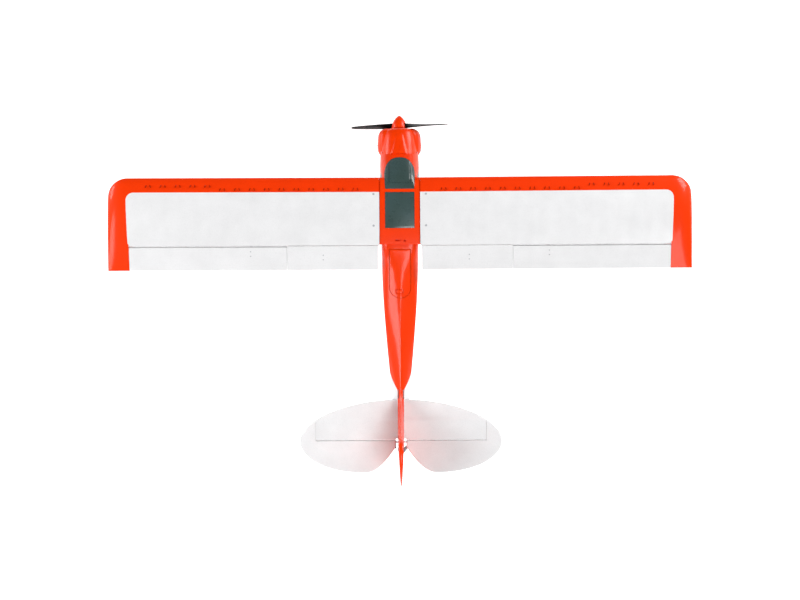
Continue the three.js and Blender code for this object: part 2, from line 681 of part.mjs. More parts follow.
add(
  spin, "motor_bell",
  join(
    turnedY([[0, -386], [MOTOR.radius - 2, -386], [MOTOR.radius, MOTOR.front + 1], [MOTOR.radius, MOTOR.back],
      [MOTOR.radius - 1.6, MOTOR.back], [MOTOR.radius - 1.6, -384], [0, -384]], 16),
    pin([0, -410, 0], [0, -356, 0], MOTOR.shaft, 10),
  ),
  STEEL,
);

/** One blade's section at radius r: a thin lens, turned to the pitch there. */
function bladeRing(r) {
  const share = r / PROP.radius;
  const chord = 11 + 38 * share * (1.08 - share) ** 0.75;
  const thick = 3.2 * (1 - share) + 0.9;
  const angle = Math.atan(PROP.pitch / (2 * Math.PI * Math.max(r, 16)));
  const count = 5;
  const ring = [];
  for (let i = 0; i < 2 * count; i++) {
    const t = (i * Math.PI) / count;
    const [along, up] = [(chord / 2) * Math.cos(t), (thick / 2) * Math.sin(t)];
    const [c, s] = [Math.cos(angle), Math.sin(angle)];
    ring.push(v3(r, PROP.y - along * s + up * c, along * c + up * s));
  }
  return ring;
}
const bladeRadii = [4, 14, 26, 40, 58, 76, 92, 104, 111, PROP.radius];
const blade = () => loft(bladeRadii.map(bladeRing));
const otherBlade = () => solid(geometryOf(blade()).rotateY(Math.PI));
const propHub = turnedY([[0, -401], [PROP.hub, -401], [PROP.hub, -391], [0, -391]], 14);
add(
  spin, "propeller",
  cut(join(propHub, blade(), otherBlade()), pin([0, -410, 0], [0, -380, 0], MOTOR.shaft + 0.3, 10)),
  BLACK,
);

/** The spinner's profile at a share of its length from the back, in [radius, y]. */
function spinnerProfile(radius, tip, count = 7) {
  return Array.from({ length: count + 1 }, (_, i) => {
    const share = i / count;
    return [radius * (1 - share ** 2) ** 0.75, SPINNER.back + (tip - SPINNER.back) * share];
  });
}
const spinnerOut = [[0, SPINNER.back], ...spinnerProfile(SPINNER.radius, SPINNER.tip)];
const spinnerIn = [
  [0, SPINNER.back + 1.3], [SPINNER.radius - 3, SPINNER.back + 1.3],
  ...spinnerProfile(SPINNER.radius - SPINNER.wall, SPINNER.tip + 6),
];
const bladeSlot = box(-40, 40, PROP.y - 7, SPINNER.back + 0.5, -SPINNER.slot, SPINNER.slot);
add(
  spin, "spinner",
  largest(cut(turnedY(spinnerOut, 20), turnedY(spinnerIn, 20), bladeSlot)),
  ORANGE,
);

// ---------------------------------------------------------------- power and radio inside

add(airframe, "battery", box(-17, 17, -291, -191, -49.6, -25.6), BLUE);
add(airframe, "speed_controller", box(-13, 13, -320, -297, -45.5, -36), BLACK);
const trayTop = 4;
const tray = box(-31.5, 31.5, -112, -34, trayTop - 3, trayTop);
/** An upright micro servo standing through the tray. */
const uprightServo = (x) => box(x - 6.1, x + 6.1, -66, -43, trayTop - 16, trayTop + 7);
add(airframe, "servo_tray", join(tray, uprightServo(14), uprightServo(-14)), WOOD);
add(airframe, "receiver", box(-14, 14, -108, -74, trayTop + GAP, trayTop + 13), BLACK);

// ---------------------------------------------------------------- tail surfaces

add(
  airframe, "stabilizer",
  slabZ(tailplaneOutline(), TAIL.height - TAIL.thick / 2, TAIL.height + TAIL.thick / 2),
  WHITE,
);

/** A double bevel for a surface's front edge, with its point on the hinge line. */
function frontBevel(degrees, half, thick) {
  const run = (thick / 2 + 2) * Math.tan(radians(degrees + 3));
  const up = thick / 2 + 2;
  return [[0, 0], [run, up], [half, up], [half, -up], [run, -up]];
}

/** The elevator's left half in plan [x, y], with its balance ahead of the hinge at the tip. */
function elevatorOutline() {
  const points = [[TAIL.balance, 300]];
  for (const x of [TAIL.balance, 203, 211, 218, 223.5, 227.3]) points.push([x, tailEdge(x)]);
  const rear = TAIL.back - TAIL.widest;
  const run = TAIL.half - TAIL.backMiddle;
  for (let i = 0; i <= 8; i++) {
    const angle = (i * Math.PI) / 16;
    points.push([TAIL.backMiddle + run * Math.cos(angle), TAIL.widest + rear * Math.sin(angle)]);
  }
  const inner = new THREE.QuadraticBezierCurve(
    new Vector2(78, TAIL.back), new Vector2(48, TAIL.back - 2),
    new Vector2(TAIL.cutIn, TAIL.hinge + TAIL.cutBack),
  );
  for (const p of inner.getPoints(5).slice(1)) points.push([p.x, p.y]);
  return [...points, [TAIL.cutIn, 300]];
}

/** The elevator: two foam halves, bevelled along the hinge, and the bar that joins them. */
function elevator() {
  const { height: z, thick, hinge, balance } = TAIL;
  const bevel = frontBevel(TAIL.turn, 120, thick).map(([y, dz]) => [hinge + y, z + dz]);
  const inboard = slabX(bevel, 0, balance + 0.5);
  const outboard = box(balance, 240, 200, 420, z - 10, z + 10);
  const halfPlan = slabZ(elevatorOutline(), z - thick / 2, z + thick / 2);
  const left = halfPlan.intersect(join(inboard, outboard));
  const right = solid(geometryOf(left).scale(-1, 1, 1));
  const joiner = box(-18, 18, hinge + 2.2, hinge + 7.5, z - 2.2, z + 2.2);
  return join(left, right, joiner);
}

const elevatorHinge = jointGroup(airframe, "elevator", [0, TAIL.hinge, TAIL.height]);
add(elevatorHinge, "elevator", elevator(), WHITE);

/** A horn for a thin tail surface: a plate with its hole `reach` from the hinge. */
function hornOutline(foot, reach) {
  const tip = [[-2.6, -reach + 1.5], [-1.6, -reach - 2.2], [1.6, -reach - 2.6], [4.5, -reach + 0.5]];
  return [[20, -foot], [7, -foot], ...tip];
}
const elevatorHole = [TAIL.hinge, TAIL.height - ELEVATOR_HORN.drop];
const elevatorHornX = ELEVATOR_HORN.x + LINKAGE.plateAt;
const elevatorHornPlate = slabX(
  hornOutline(TAIL.thick / 2 + GAP, ELEVATOR_HORN.drop).map(([y, z]) => [TAIL.hinge + y, TAIL.height + z]),
  elevatorHornX, elevatorHornX + LINKAGE.plate,
);
add(elevatorHinge, "elevator_horn", cut(elevatorHornPlate, hole(ELEVATOR_HORN.x, elevatorHole)), NYLON);

const elevatorRodEnd = jointGroup(elevatorHinge, "elevator_rod", [ELEVATOR_HORN.x, ...elevatorHole]);
add(
  elevatorRodEnd, "elevator_rod",
  join(
    pin([ELEVATOR_HORN.x, ROD_FRONT, elevatorHole[1]], [ELEVATOR_HORN.x, ...elevatorHole], LINKAGE.wire, 8),
    pin(
      [ELEVATOR_HORN.x - LINKAGE.wire, ...elevatorHole], [ELEVATOR_HORN.x + 4, ...elevatorHole],
      LINKAGE.wire, 8,
    ),
  ),
  STEEL,
);

// the rudder's edge in [y, z]: a balance over the fin and one round sweep down to the foot
const RUDDER_EDGE = [
  [306, FIN.top + 4], [313, 160], [336, 170], [372, 158], [402, 124],
  [416, 76], [409, 34], [386, 9], [352, 0],
];
function rudderOutline() {
  const sweep = new THREE.SplineCurve(RUDDER_EDGE.map(([y, z]) => new Vector2(y, z)));
  const arc = sweep.getPoints(20).map((p) => [p.x, p.y]);
  return [[FIN.hinge - 1, FIN.top + 4], ...arc, [FIN.hinge - 1, RUDDER.bottom]];
}

/** The rudder: thinner towards the back, bevelled to a point along its hinge below the balance. */
function rudder() {
  const [front, back] = [RUDDER.thick / 2, RUDDER.edge / 2];
  const plan = [[-front, 290], [front, 290], [front, FIN.hinge], [back, RUDDER.back]];
  const taper = slabZ([...plan, [-back, RUDDER.back], [-front, FIN.hinge]], -10, 200);
  const whole = slabX(rudderOutline(), -front, front).intersect(taper);
  const wedge = frontBevel(RUDDER.turn, 120, RUDDER.thick).map(([y, x]) => [x, FIN.hinge + y]);
  const below = slabZ(wedge, -10, FIN.top + 4.5);
  const above = box(-10, 10, 290, 440, FIN.top + 3, 200);
  const joinerRoom = box(-10, 10, 320, FIN.hinge + 0.1, -10, FIN.top + 2);
  return cut(whole.intersect(join(below, above)), joinerRoom);
}

const rudderHinge = jointGroup(airframe, "rudder", [0, FIN.hinge, 60]);
add(rudderHinge, "rudder", rudder(), ORANGE);

const rudderHole = v3(-RUDDER.horn, FIN.hinge, RUDDER_ROD_Z);
/** The rudder's horn lies flat, so it is drawn in [x, y] and cut across z. */
function rudderHorn() {
  const outline = hornOutline(RUDDER.thick / 2 + GAP, RUDDER.horn).map(([y, x]) => [x, FIN.hinge + y]);
  const z0 = RUDDER_ROD_Z + LINKAGE.plateAt;
  const plate = slabZ(outline, z0, z0 + LINKAGE.plate);
  const { x, y } = rudderHole;
  return cut(plate, pin([x, y, z0 - 4], [x, y, z0 + 6], LINKAGE.hole, 12));
}
add(rudderHinge, "rudder_horn", rudderHorn(), BLACK);
const rudderRodEnd = jointGroup(rudderHinge, "rudder_rod", rudderHole.toArray());
add(
  rudderRodEnd, "rudder_rod",
  join(
    pin([rudderHole.x, ROD_FRONT, rudderHole.z], rudderHole.toArray(), LINKAGE.wire, 8),
    pin(
      [rudderHole.x, rudderHole.y, rudderHole.z - LINKAGE.wire],
      [rudderHole.x, rudderHole.y, rudderHole.z + 4], LINKAGE.wire, 8,
    ),
  ),
  STEEL,
);

// ---------------------------------------------------------------- undercarriage

/** A tyre's or hub's half section in [radius, x], rounded like a soft balloon tyre. */
function tyreProfile(radius, rim, width, count = 8) {
  const points = [];
  const [middle, deep] = [(radius + rim) / 2, (radius - rim) / 2];
  for (let i = 0; i <= count; i++) {
    const angle = (i * Math.PI) / count;
    const [c, s] = [Math.cos(angle), Math.sin(angle)];
    points.push([middle + deep * (s ** 0.7 * 2 - 1), (-width / 2) * Math.sign(c) * Math.abs(c) ** 0.7]);
  }
  return points;
}

/** Flattens the tread's middle to a strip of equal radius, so that it stands on a flat face. */
function tread(profile, radius, width) {
  const flat = profile.filter(([r]) => r < radius - 0.4);
  const half = flat.length / 2;
  return [...flat.slice(0, half), [radius, -width / 6], [radius, width / 6], ...flat.slice(half)];
}

const upright = Math.PI / WHEEL.sides;
function mainTyre() {
  const { radius, rim, width, sides } = WHEEL;
  return turnedX(tread(tyreProfile(radius, rim, width), radius, width), sides);
}

/** A dished hub: a rim, a thin disc and a boss around the axle. */
function hub() {
  const [rim, wide, disc, bore] = [WHEEL.rim - 0.4, 13, 8, WHEEL.axle + 0.4];
  const inner = [[bore, -17], [6, -17], [7, -disc], [rim - 3, -disc], [rim, -wide]];
  return turnedX([...inner, [rim, wide], [rim - 3, disc], [7, disc], [6, 15], [bore, 15]], 16);
}

for (const [side, sign] of [["left", 1], ["right", -1]]) {
  const wheel = jointGroup(airframe, `wheel_${side}`, [sign * WHEEL.x, WHEEL.y, WHEEL.z]);
  for (const [name, shape, material] of [["tyre", mainTyre(), RUBBER], ["hub", hub(), BLACK]]) {
    const mesh = add(wheel, `${name}_${side}`, shape, material);
    mesh.position.set(0, 0, 0);
    mesh.rotation.x = upright;
  }

  const { front, back, top, thick } = BELLY_PLATE;
  const under = top - thick - GAP;
  const foot = [WHEEL.x - 22, WHEEL.y, WHEEL.z];
  const tubes = [front + 8, back - 8].map((y) => bar(v3(26, y, under), v3(...foot), 2.2, 3, 8));
  const skinTop = [[27, front + 8], [27, back - 8], [29, back - 8], [29, front + 8]];
  const skinFoot = [[-1, -3], [-1, 3], [1, 3], [1, -3]];
  const fairing = loft([
    skinTop.map(([x, y]) => v3(x, y, under - 1)),
    skinFoot.map(([x, y]) => v3(foot[0] + x, foot[1] + y, foot[2] + 1)),
  ]);
  const axle = pin([foot[0] - 1, foot[1], foot[2]], [WHEEL.x + 20, foot[1], foot[2]], WHEEL.axle, 10);
  const flat = join(...tubes, fairing, axle).intersect(box(0, 200, -400, 400, -300, under));
  add(airframe, `gear_leg_${side}`, sign > 0 ? flat : solid(geometryOf(flat).scale(-1, 1, 1)), WHITE);
}

/** The belly plate that holds the legs, with the middle cabane and its two shock struts. */
function gearMount() {
  const { front, back, half, top, thick } = BELLY_PLATE;
  const plate = box(-half, half, front, back, top - thick, top);
  const apex = v3(0, WHEEL.y, top - 34);
  const legs = [front + 14, back - 14].map((y) => bar(v3(0, y, top - 2), apex, 1.6, 2.2));
  const [endX, endZ] = [WHEEL.x - 47.6, WHEEL.z + 17.8]; // beside the leg, a little above its foot
  const shocks = [1, -1].map((sign) => bar(apex, v3(sign * endX, WHEEL.y, endZ), 3, 3, 8));
  return join(plate, ...legs, ...shocks);
}
add(airframe, "gear_mount", gearMount(), BLACK);

// ---------------------------------------------------------------- tail wheel

add(
  airframe, "tail_wheel_bracket",
  cut(
    join(
      box(-4, 4, 284, FIN.hinge + 3.5, -6.2, -3.4),
      pin([0, FIN.hinge, -9], [0, FIN.hinge, -3.4], 3.6, 12),
    ),
    pin([0, FIN.hinge, -20], [0, FIN.hinge, 4], 1.4, 10),
  ),
  BLACK,
);
const { y: tailY, z: tailZ } = TAIL_WHEEL;
add(
  rudderHinge, "tail_wheel_wire",
  join(
    pin([0, FIN.hinge, -30], [0, FIN.hinge, -0.6], TAIL_WHEEL.wire, 8),
    pin([0, FIN.hinge, -1.4], [0, 350, -1.4], TAIL_WHEEL.wire, 8),
    wire(
      [[0, FIN.hinge, -29], [1, FIN.hinge + 1, -34], [6.5, tailY - 9, tailZ + 9], [6.5, tailY, tailZ]],
      TAIL_WHEEL.wire, 8,
    ),
    pin([7.2, tailY, tailZ], [-5.5, tailY, tailZ], TAIL_WHEEL.wire, 8),
  ),
  STEEL,
);
const tailSpin = jointGroup(rudderHinge, "tail_wheel", [0, tailY, tailZ]);
/** The small solid wheel with chamfered shoulders. */
function tailTyreShape() {
  const { radius, width, sides, wire: axle } = TAIL_WHEEL;
  const half = [[axle + 0.4, width / 2], [radius - 3, width / 2], [radius, width / 4]];
  return turnedX([...half.map(([r, x]) => [r, -x]), ...half.reverse()], sides);
}
const tailTyre = add(tailSpin, "tail_wheel", tailTyreShape(), RUBBER);
tailTyre.position.set(0, 0, 0);

// ---------------------------------------------------------------- wing struts

/** A V strut on the left, from its foot on the fuselage to two fittings under the wing. */
function strut() {
  const lowest = (x, y) => {
    const rise = (x - WING.root) * Math.sin(radians(WING.dihedral));
    return WING.height + rise + skin(y, -1) - 1.2;
  };
  const foot = v3(...STRUT.foot);
  const tops = [STRUT.frontY, STRUT.backY].map((y) => v3(STRUT.x, y, lowest(STRUT.x, y) - 3));
  const tubes = tops.map((end) => bar(foot, end, STRUT.wide / 2, STRUT.long / 2, 8));
  const fittings = tops.map(({ x, y, z }) => box(x - 8, x + 6, y - 4, y + 4, z - 3, z + 3));
  const middles = tops.map((end) => foot.clone().lerp(end, STRUT.jury));
  const juries = middles.map(({ x, y, z }) =>
    bar(v3(x, y, z), v3(x + 8, y, lowest(x + 8, y)), 1.3, 1.8, 6),
  );
  const brace = bar(middles[0], middles[1], 1.3, 1.3, 6, v3(0, 0, 1));
  const shoe = box(43.4, 52, foot.y - 9, foot.y + 9, foot.z - 4, foot.z + 5.5);
  return join(...tubes, ...fittings, ...juries, brace, shoe);
}
const leftStrut = strut();
add(airframe, "strut_left", leftStrut, WHITE);
add(airframe, "strut_right", solid(geometryOf(leftStrut).scale(-1, 1, 1)), WHITE);

// ---------------------------------------------------------------- standing on the ground

const mainReach = WHEEL.radius * Math.cos(Math.PI / WHEEL.sides);
const tailReach = TAIL_WHEEL.radius * Math.cos(Math.PI / TAIL_WHEEL.sides);
const [runBack, runUp] = [TAIL_WHEEL.y - WHEEL.y, TAIL_WHEEL.z - WHEEL.z];
const sit = Math.atan2(runUp, runBack) + Math.asin((mainReach - tailReach) / Math.hypot(runBack, runUp));

airframe.rotation.x = -sit;
for (const name of ["tyre_left", "tyre_right", "hub_left", "hub_right"])
  airframe.getObjectByName(name).rotation.x += sit;
tailTyre.rotation.x = sit + Math.PI / TAIL_WHEEL.sides;

root.updateMatrixWorld(true);
const extent = new THREE.Box3().setFromObject(root, true);
const middle = extent.getCenter(v3(0, 0, 0));
airframe.position.set(-middle.x, -middle.y, -extent.min.z);

export default root;
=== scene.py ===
"""The looks of a foam radio-control airplane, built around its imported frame.

Shapes are drawn in millimetres in the airplane's own level frame (+X to the left wing tip, +Y aft,
+Z up, the propeller shaft on y at z = 0) and then placed by a matrix worked out from the frame.
"""

import json
import math
from types import SimpleNamespace as Sizes

import bmesh
import bpy
import numpy as np
from mathutils import Matrix, Vector


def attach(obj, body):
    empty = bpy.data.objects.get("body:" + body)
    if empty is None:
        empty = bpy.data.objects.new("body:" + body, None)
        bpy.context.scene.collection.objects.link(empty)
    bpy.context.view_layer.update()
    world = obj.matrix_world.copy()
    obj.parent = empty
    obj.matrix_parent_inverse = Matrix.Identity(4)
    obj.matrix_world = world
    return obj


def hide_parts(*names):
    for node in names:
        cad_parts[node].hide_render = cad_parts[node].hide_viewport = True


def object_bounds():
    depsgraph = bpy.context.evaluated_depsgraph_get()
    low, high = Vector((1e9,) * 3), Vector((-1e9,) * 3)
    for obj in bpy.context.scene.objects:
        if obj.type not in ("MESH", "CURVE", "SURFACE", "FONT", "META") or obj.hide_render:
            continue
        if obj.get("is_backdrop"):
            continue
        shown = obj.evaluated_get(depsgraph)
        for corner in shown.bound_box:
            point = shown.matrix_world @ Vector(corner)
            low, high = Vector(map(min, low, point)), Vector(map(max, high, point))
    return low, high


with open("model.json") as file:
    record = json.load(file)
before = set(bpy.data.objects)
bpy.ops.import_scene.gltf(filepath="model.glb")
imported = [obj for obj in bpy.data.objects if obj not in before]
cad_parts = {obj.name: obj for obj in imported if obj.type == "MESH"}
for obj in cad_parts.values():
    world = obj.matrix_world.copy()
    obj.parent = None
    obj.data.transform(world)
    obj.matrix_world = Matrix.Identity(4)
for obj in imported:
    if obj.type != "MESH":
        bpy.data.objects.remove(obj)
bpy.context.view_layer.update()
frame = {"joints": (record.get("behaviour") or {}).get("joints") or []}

# ---------------------------------------------------------------- dimensions, in millimetres

WING = Sizes(tip=650.0, root=46.8, nose=-273.5, chord=206.5, height=60.0, dihedral=2.0, thickness=0.123,
             camber=0.03, camber_at=0.4, edge=2.0, tip_corner=44.0, tip_rise=35.0, tip_edge=0.25, low=-4.0)
RIBS = Sizes(start=98.8, pitch=32.85, count=15, sag=0.8, first=58.8, last=600.0, behind=0.2)
HINGE_Y = -120.5
# the foam's skin comes within a hair of its neighbours; the frame leaves 2.5 mm between flap and aileron
AILERON = Sizes(inner=252.4, outer=602.0, up=22.0, down=22.0)
FLAP = Sizes(inner=49.0, outer=252.2, up=2.0, down=41.0)
SURFACES = {"aileron": AILERON, "flap": FLAP}
LINKAGE = Sizes(arm=17.0, run=62.0, plate=1.6, plate_at=1.2, wire=0.8, bend=2.2, hole=1.3)
HORN = Sizes(foot=15.0, base=1.8, base_drop=1.4, wide=10.0)
ARM = Sizes(top=3.7, end=2.1, boss=3.1, spare=0.65, spare_from=7.0, spare_step=3.2)
# the plane each linkage swings in, and how far behind the hinge its horn stands
HORNS = {("aileron", "left"): (331.0, 9.5), ("aileron", "right"): (331.0, 9.5),
         ("flap", "left"): (169.5, 18.0), ("flap", "right"): (153.0, 18.0)}
SERVO = Sizes(length=23.0, width=12.2, height=23.0, ear_at=4.0, ear=2.0, ear_reach=4.5, shaft=6.0, seam=0.35,
              seam_deep=0.3)
BAND = Sizes(depth=33.5, tip=607.8, corner=17.0, lean=3.6)
VANES = Sizes(inner_pairs=10, inner=27.0, outer=19.5, apart=4.8, turn=17.0, length=6.4, tall=3.0, thick=1.6)
WING_BOLTS = Sizes(x=59.0, ys=(-235.0, -165.0), radius=2.6, proud=0.9)

# y, half width, belly, height of the widest point, roof, roof power
STATIONS = [
    (-329, 43.4, -51, -5, 41, 2.4),
    (-300, 44.3, -56, -2, 57, 2.8),
    (-271, 44.5, -59, 0, 70.5, 4),
    (-247, 44.5, -59.5, 2, 75, 7),
    (-165, 44.2, -58.5, 4, 74, 7),
    (-126, 42, -56, 12, 70.5, 6),
    (-95, 41.3, -53, 28, 66, 3),
    (-62, 40.5, -49.5, 36, 62.5, 1.7),
    (0, 37.8, -40, 35, 57, 1.3),
    (106, 30, -25.5, 25, 47.5, 1.15),
    (166, 24.5, -16.5, 20, 42, 1.15),
    (226, 19.5, -8.5, 16, 37.5, 1.2),
    (300, 9.5, -1, 14, 34, 1.6),
    (329, 5, 2, 14, 33, 1.8),
]
BELLY_POWER = 4.5
WALL = 6.0
CAVITY = Sizes(front=-331.0, back=190.0, step=10.0)
# above every roof line: how high the tools that cut the deck reach
SKYWARD = 90.0
CENTRE = Sizes(half=46.0, back=-123.5)
GAP = 0.45
GLASS = Sizes(half=34.0, front=-320.0, square=-277.0, back=-247.2, back_half=32.2, thick=2.0, power=0.85)
GLASS_LINES = Sizes(x=23.5, front=-309.0, back=-263.0, across=29.0, half=0.45, deep=0.7)
SKYLIGHT = Sizes(half=32.5, front=-239.4, back=-159.5)
SIDE_GLASS = Sizes(front=-303.0, back=-142.0, low=8.0, high=51.0, rake=26.0, nose=16.0, corner=6.0, thick=2.0)
HATCH = Sizes(half=23.5, front=-112.0, back=-3.5, thick=5.0, gap=0.9)
DOOR = Sizes(half=27.0, front=-186.0, back=-92.0, thick=5.0)
# the step beside each wing root, the finger dimples on the deck and the hatch's latch button
LEDGE = Sizes(wide=1.9, deep=6.0)
DIMPLES = [(4.5, -132.0, 12.0, 4.0), (-10.8, -131.0, 6.0, 4.0)]
DIMPLE_DEEP = 5.2
LATCH = (1.5, -18.0, 14.0, 7.5)
LATCH_BUTTON = Sizes(proud=0.7, sunk=0.9, moat=1.5, deep=2.4)

TAIL = Sizes(half=229.0, front=226.0, widest=320.0, back=392.0, height=26.0, thick=8.0, hinge=318.0, rim=3.6,
             balance=193.0, back_middle=85.0, cut=12.0, cut_back=15.0, power=1.9, turn=25.0, joiner=2.1)
FIN = Sizes(front=204.0, foot_z=20.0, top=140.6, foot=14.5, thick=8.0, hinge=331.0)
FIN_SLOT = Sizes(inner=4.7, outer=6.7, front=203.6, back=224.0, floor=26.0, front_floor=36.5, wide=1.2)
RUDDER = Sizes(thick=11.0, edge=3.0, horn=18.5, rod_z=8.0, back=418.0, turn=30.0, shelf=142.0, rim=3.2)
RUDDER_SWEEP = [(306, 142), (313, 160), (336, 170), (372, 158), (402, 124), (416, 76), (409, 34), (386, 9),
                (352, 0)]
# what each surface's bevel turns beyond its limit, in degrees
SPARE_TURN = 3.0
ROD_FRONT = -31.0
ELEVATOR_HORN = Sizes(x=14.0, drop=15.0)

PROP = Sizes(radius=114.3, pitch=114.3, y=-396.0, turned=15.0, hub=6.5, front=-401.0, back=-391.6)
SPINNER = Sizes(radius=17.5, back=-390.3, tip=-420.5, wall=1.4, slot=8.0)
MOTOR = Sizes(radius=14.0, front=-386.0, back=-361.0, wall=1.6, shaft=2.5, vents=8)
COILS = Sizes(count=12, inner=6.0, outer=11.0, y=-372.0, across=1.5, along=8.5)
FIREWALL = Sizes(half=28.0, front=-327.0, back=-323.0, low=-32.0, high=22.0)
COWL = Sizes(front=-389.0, back=-329.1, wall=2.2, cheek_z=-4.0, screw_y=-334.0)
INLETS = Sizes(x=30.0, front=-400.0, back=-375.0, across=9.5, along=12.5, middle=15.0)
LOUVRES = Sizes(ys=(-352, -346, -340), low=-12.0, high=4.0, across=0.9, along=1.4, sunk=0.6)
# sections turned about the shaft, as radius and y
STANDOFF = [(0, -352), (11, -352), (11, -348), (7, -346), (7, -326), (0, -326)]
STATOR = [(3, -383), (6.2, -383), (6.2, -359), (12, -359), (12, -352.4), (3, -352.4)]

BATTERY = (-17, 17, -291, -191, -49.6, -25.6)
STRAP = (-17.8, 17.8, -248, -232, -50.2, -25.0)
CONTROLLER = (-13, 13, -320, -297, -45.5, -36)
TRAY = (-31.5, 31.5, -112, -34, 1, 4)
TRAY_HOLES = [((0, -100), 5), ((0, -46), 4)]
RECEIVER = (-14, 14, -108, -74, 4.3, 17)
PORTS = Sizes(xs=(-9.5, -5.7, -1.9, 1.9, 5.7, 9.5), half=1.3, deep=(-110, -105.5), tall=(6.6, 14.6))
TAIL_SERVO = Sizes(x=14.0, front=-66.0, back=-43.0, low=-12.0, high=11.0, arm=11.0,
                   ears=(4.4, 6.0))
SPAR = Sizes(radius=4.0, half=150.0, y=-205.0, z=65.0, wall=1.0)

WHEEL = Sizes(x=135.0, y=-236.0, z=-150.0, radius=50.0, width=42.0, rim=23.0, sides=24, axle=2.0, holes=5)
TAIL_WHEEL = Sizes(y=352.0, z=-52.0, radius=13.0, width=8.0, wire=0.9, bore=4.6, shoulder=9.4)
BELLY_PLATE = Sizes(front=-272.0, back=-190.0, half=34.0, top=-60.0, thick=3.0)
LEG = Sizes(x=26.0, inset=8.0, short=22.0, across=2.2, along=3.0)
SHOCK = Sizes(apex=34.0, short=47.6, above=17.8, rings=7)
STRUT = Sizes(foot=(45.5, -222.0, -44.0), x=332.0, front=-240.0, back=-152.0, jury=0.62,
              across=2.0, along=4.5)

# ---------------------------------------------------------------- places, from the frame

joints = {joint["name"]: joint for joint in frame["joints"]}
shaft = joints["propeller_spin"]
aft = Vector(shaft["axis"]).normalized()
SIT = math.atan2(-aft.z, aft.y)
LEVEL = (Matrix.Translation(shaft["pos_m"]) @ Matrix.Rotation(-SIT, 4, "X")
         @ Matrix.Translation((0, -PROP.y / 1000, 0)) @ Matrix.Scale(0.001, 4))
SIDES = {"left": 1, "right": -1}


def wing_matrix(side):
    """From the frame that a wing panel is drawn in, with its chord line at z = 0, to the row frame."""
    hinge = Matrix.Translation((WING.root, 0, WING.height))
    tilt = Matrix.Rotation(-math.radians(WING.dihedral), 4, "Y")
    mirror = Matrix.Diagonal((SIDES[side], 1, 1, 1))
    return LEVEL @ mirror @ hinge @ tilt @ Matrix.Translation((-WING.root, 0, 0))


ON_WING = {side: wing_matrix(side) for side in SIDES}
# the propeller's own frame, turned to the angle that the photograph shows
SPIN = LEVEL @ Matrix.Translation((0, PROP.y, 0)) @ Matrix.Rotation(math.radians(PROP.turned), 4, "Y")
SPIN = SPIN @ Matrix.Translation((0, -PROP.y, 0))

# ---------------------------------------------------------------- points and outlines

AXES = {"x": lambda a, b, c: (c, a, b), "y": lambda a, b, c: (a, c, b), "z": lambda a, b, c: (a, b, c)}


def spaced(*stops):
    """Numbers from stop to stop, each stretch given as (end, step)."""
    values = [stops[0]]
    for end, step in stops[1:]:
        start = values[-1]
        count = max(1, round(abs(end - start) / step))
        values += [start + (end - start) * i / count for i in range(1, count + 1)]
    return values


def beside(sign, inner, outer):
    """A span on one side of the middle, as its lower and its higher end."""
    return sorted((sign * inner, sign * outer))


def arc(centre, radius, steps, start=0.0, sweep=math.pi):
    """Points on a round arc from the angle `start`: one more than its steps."""
    angles = [start + sweep * i / steps for i in range(steps + 1)]
    return [(centre[0] + radius * math.cos(a), centre[1] + radius * math.sin(a)) for a in angles]


def around(centre, radius, count, start=0.0):
    """Evenly spaced places on a circle."""
    return arc(centre, radius, count, start, 2 * math.pi)[:-1]


def rectangle(half, front, back, grow=0.0):
    half, front, back = half + grow, front - grow, back + grow
    return [(-half, front), (half, front), (half, back), (-half, back)]


def quadratic(a, b, c, count):
    """Points on a parabola's arc from a to c, pulled towards b."""
    a, b, c = (np.array(p, float) for p in (a, b, c))
    ts = [i / count for i in range(count + 1)]
    return [tuple(a * (1 - t) ** 2 + b * 2 * t * (1 - t) + c * t ** 2) for t in ts]


def smooth_line(points, per_span):
    """A smooth curve through points."""
    spots = [np.array(p, float) for p in points]
    ends = [2 * spots[0] - spots[1], *spots, 2 * spots[-1] - spots[-2]]
    line = []
    for a, b, c, d in zip(ends, ends[1:], ends[2:], ends[3:]):
        for i in range(per_span):
            t = i / per_span
            line.append(tuple(0.5 * (2 * b + (c - a) * t + (2 * a - 5 * b + 4 * c - d) * t ** 2
                                     + (3 * b - a - 3 * c + d) * t ** 3)))
    return [*line, tuple(spots[-1])]


def through(table):
    """A smooth curve through a table's rows: gives every column at the value asked of the first."""
    rows = np.array(table, float)
    keys, values = rows[:, 0], rows[:, 1:]
    slopes = np.diff(values, axis=0) / np.diff(keys)[:, None]
    before, after = slopes[:-1], slopes[1:]
    total = np.where(before + after == 0, 1, before + after)
    inner = np.where(before * after <= 0, 0, 2 * before * after / total)
    tangents = np.vstack([slopes[:1], inner, slopes[-1:]])

    def at(value):
        r = int(np.clip(np.searchsorted(keys, value, side="right") - 1, 0, len(keys) - 2))
        step = keys[r + 1] - keys[r]
        t = min(max((value - keys[r]) / step, 0), 1)
        return ((2 * t ** 3 - 3 * t ** 2 + 1) * values[r] + (t ** 3 - 2 * t ** 2 + t) * step * tangents[r]
                + (3 * t ** 2 - 2 * t ** 3) * values[r + 1] + (t ** 3 - t ** 2) * step * tangents[r + 1])

    return at


def oval(y, centre, half, low, high, low_power, high_power, count=96, x0=0.0):
    """A ring at y: a superellipse above the widest height and another below it."""
    ring = []
    for c, s in around((0, 0), 1, count):
        power = high_power if s >= 0 else low_power
        reach = high - centre if s >= 0 else centre - low
        x = half * math.copysign(abs(c) ** (2 / power), c)
        z = reach * math.copysign(abs(s) ** (2 / power), s)
        ring.append((x0 + x, y, centre + z))
    return ring


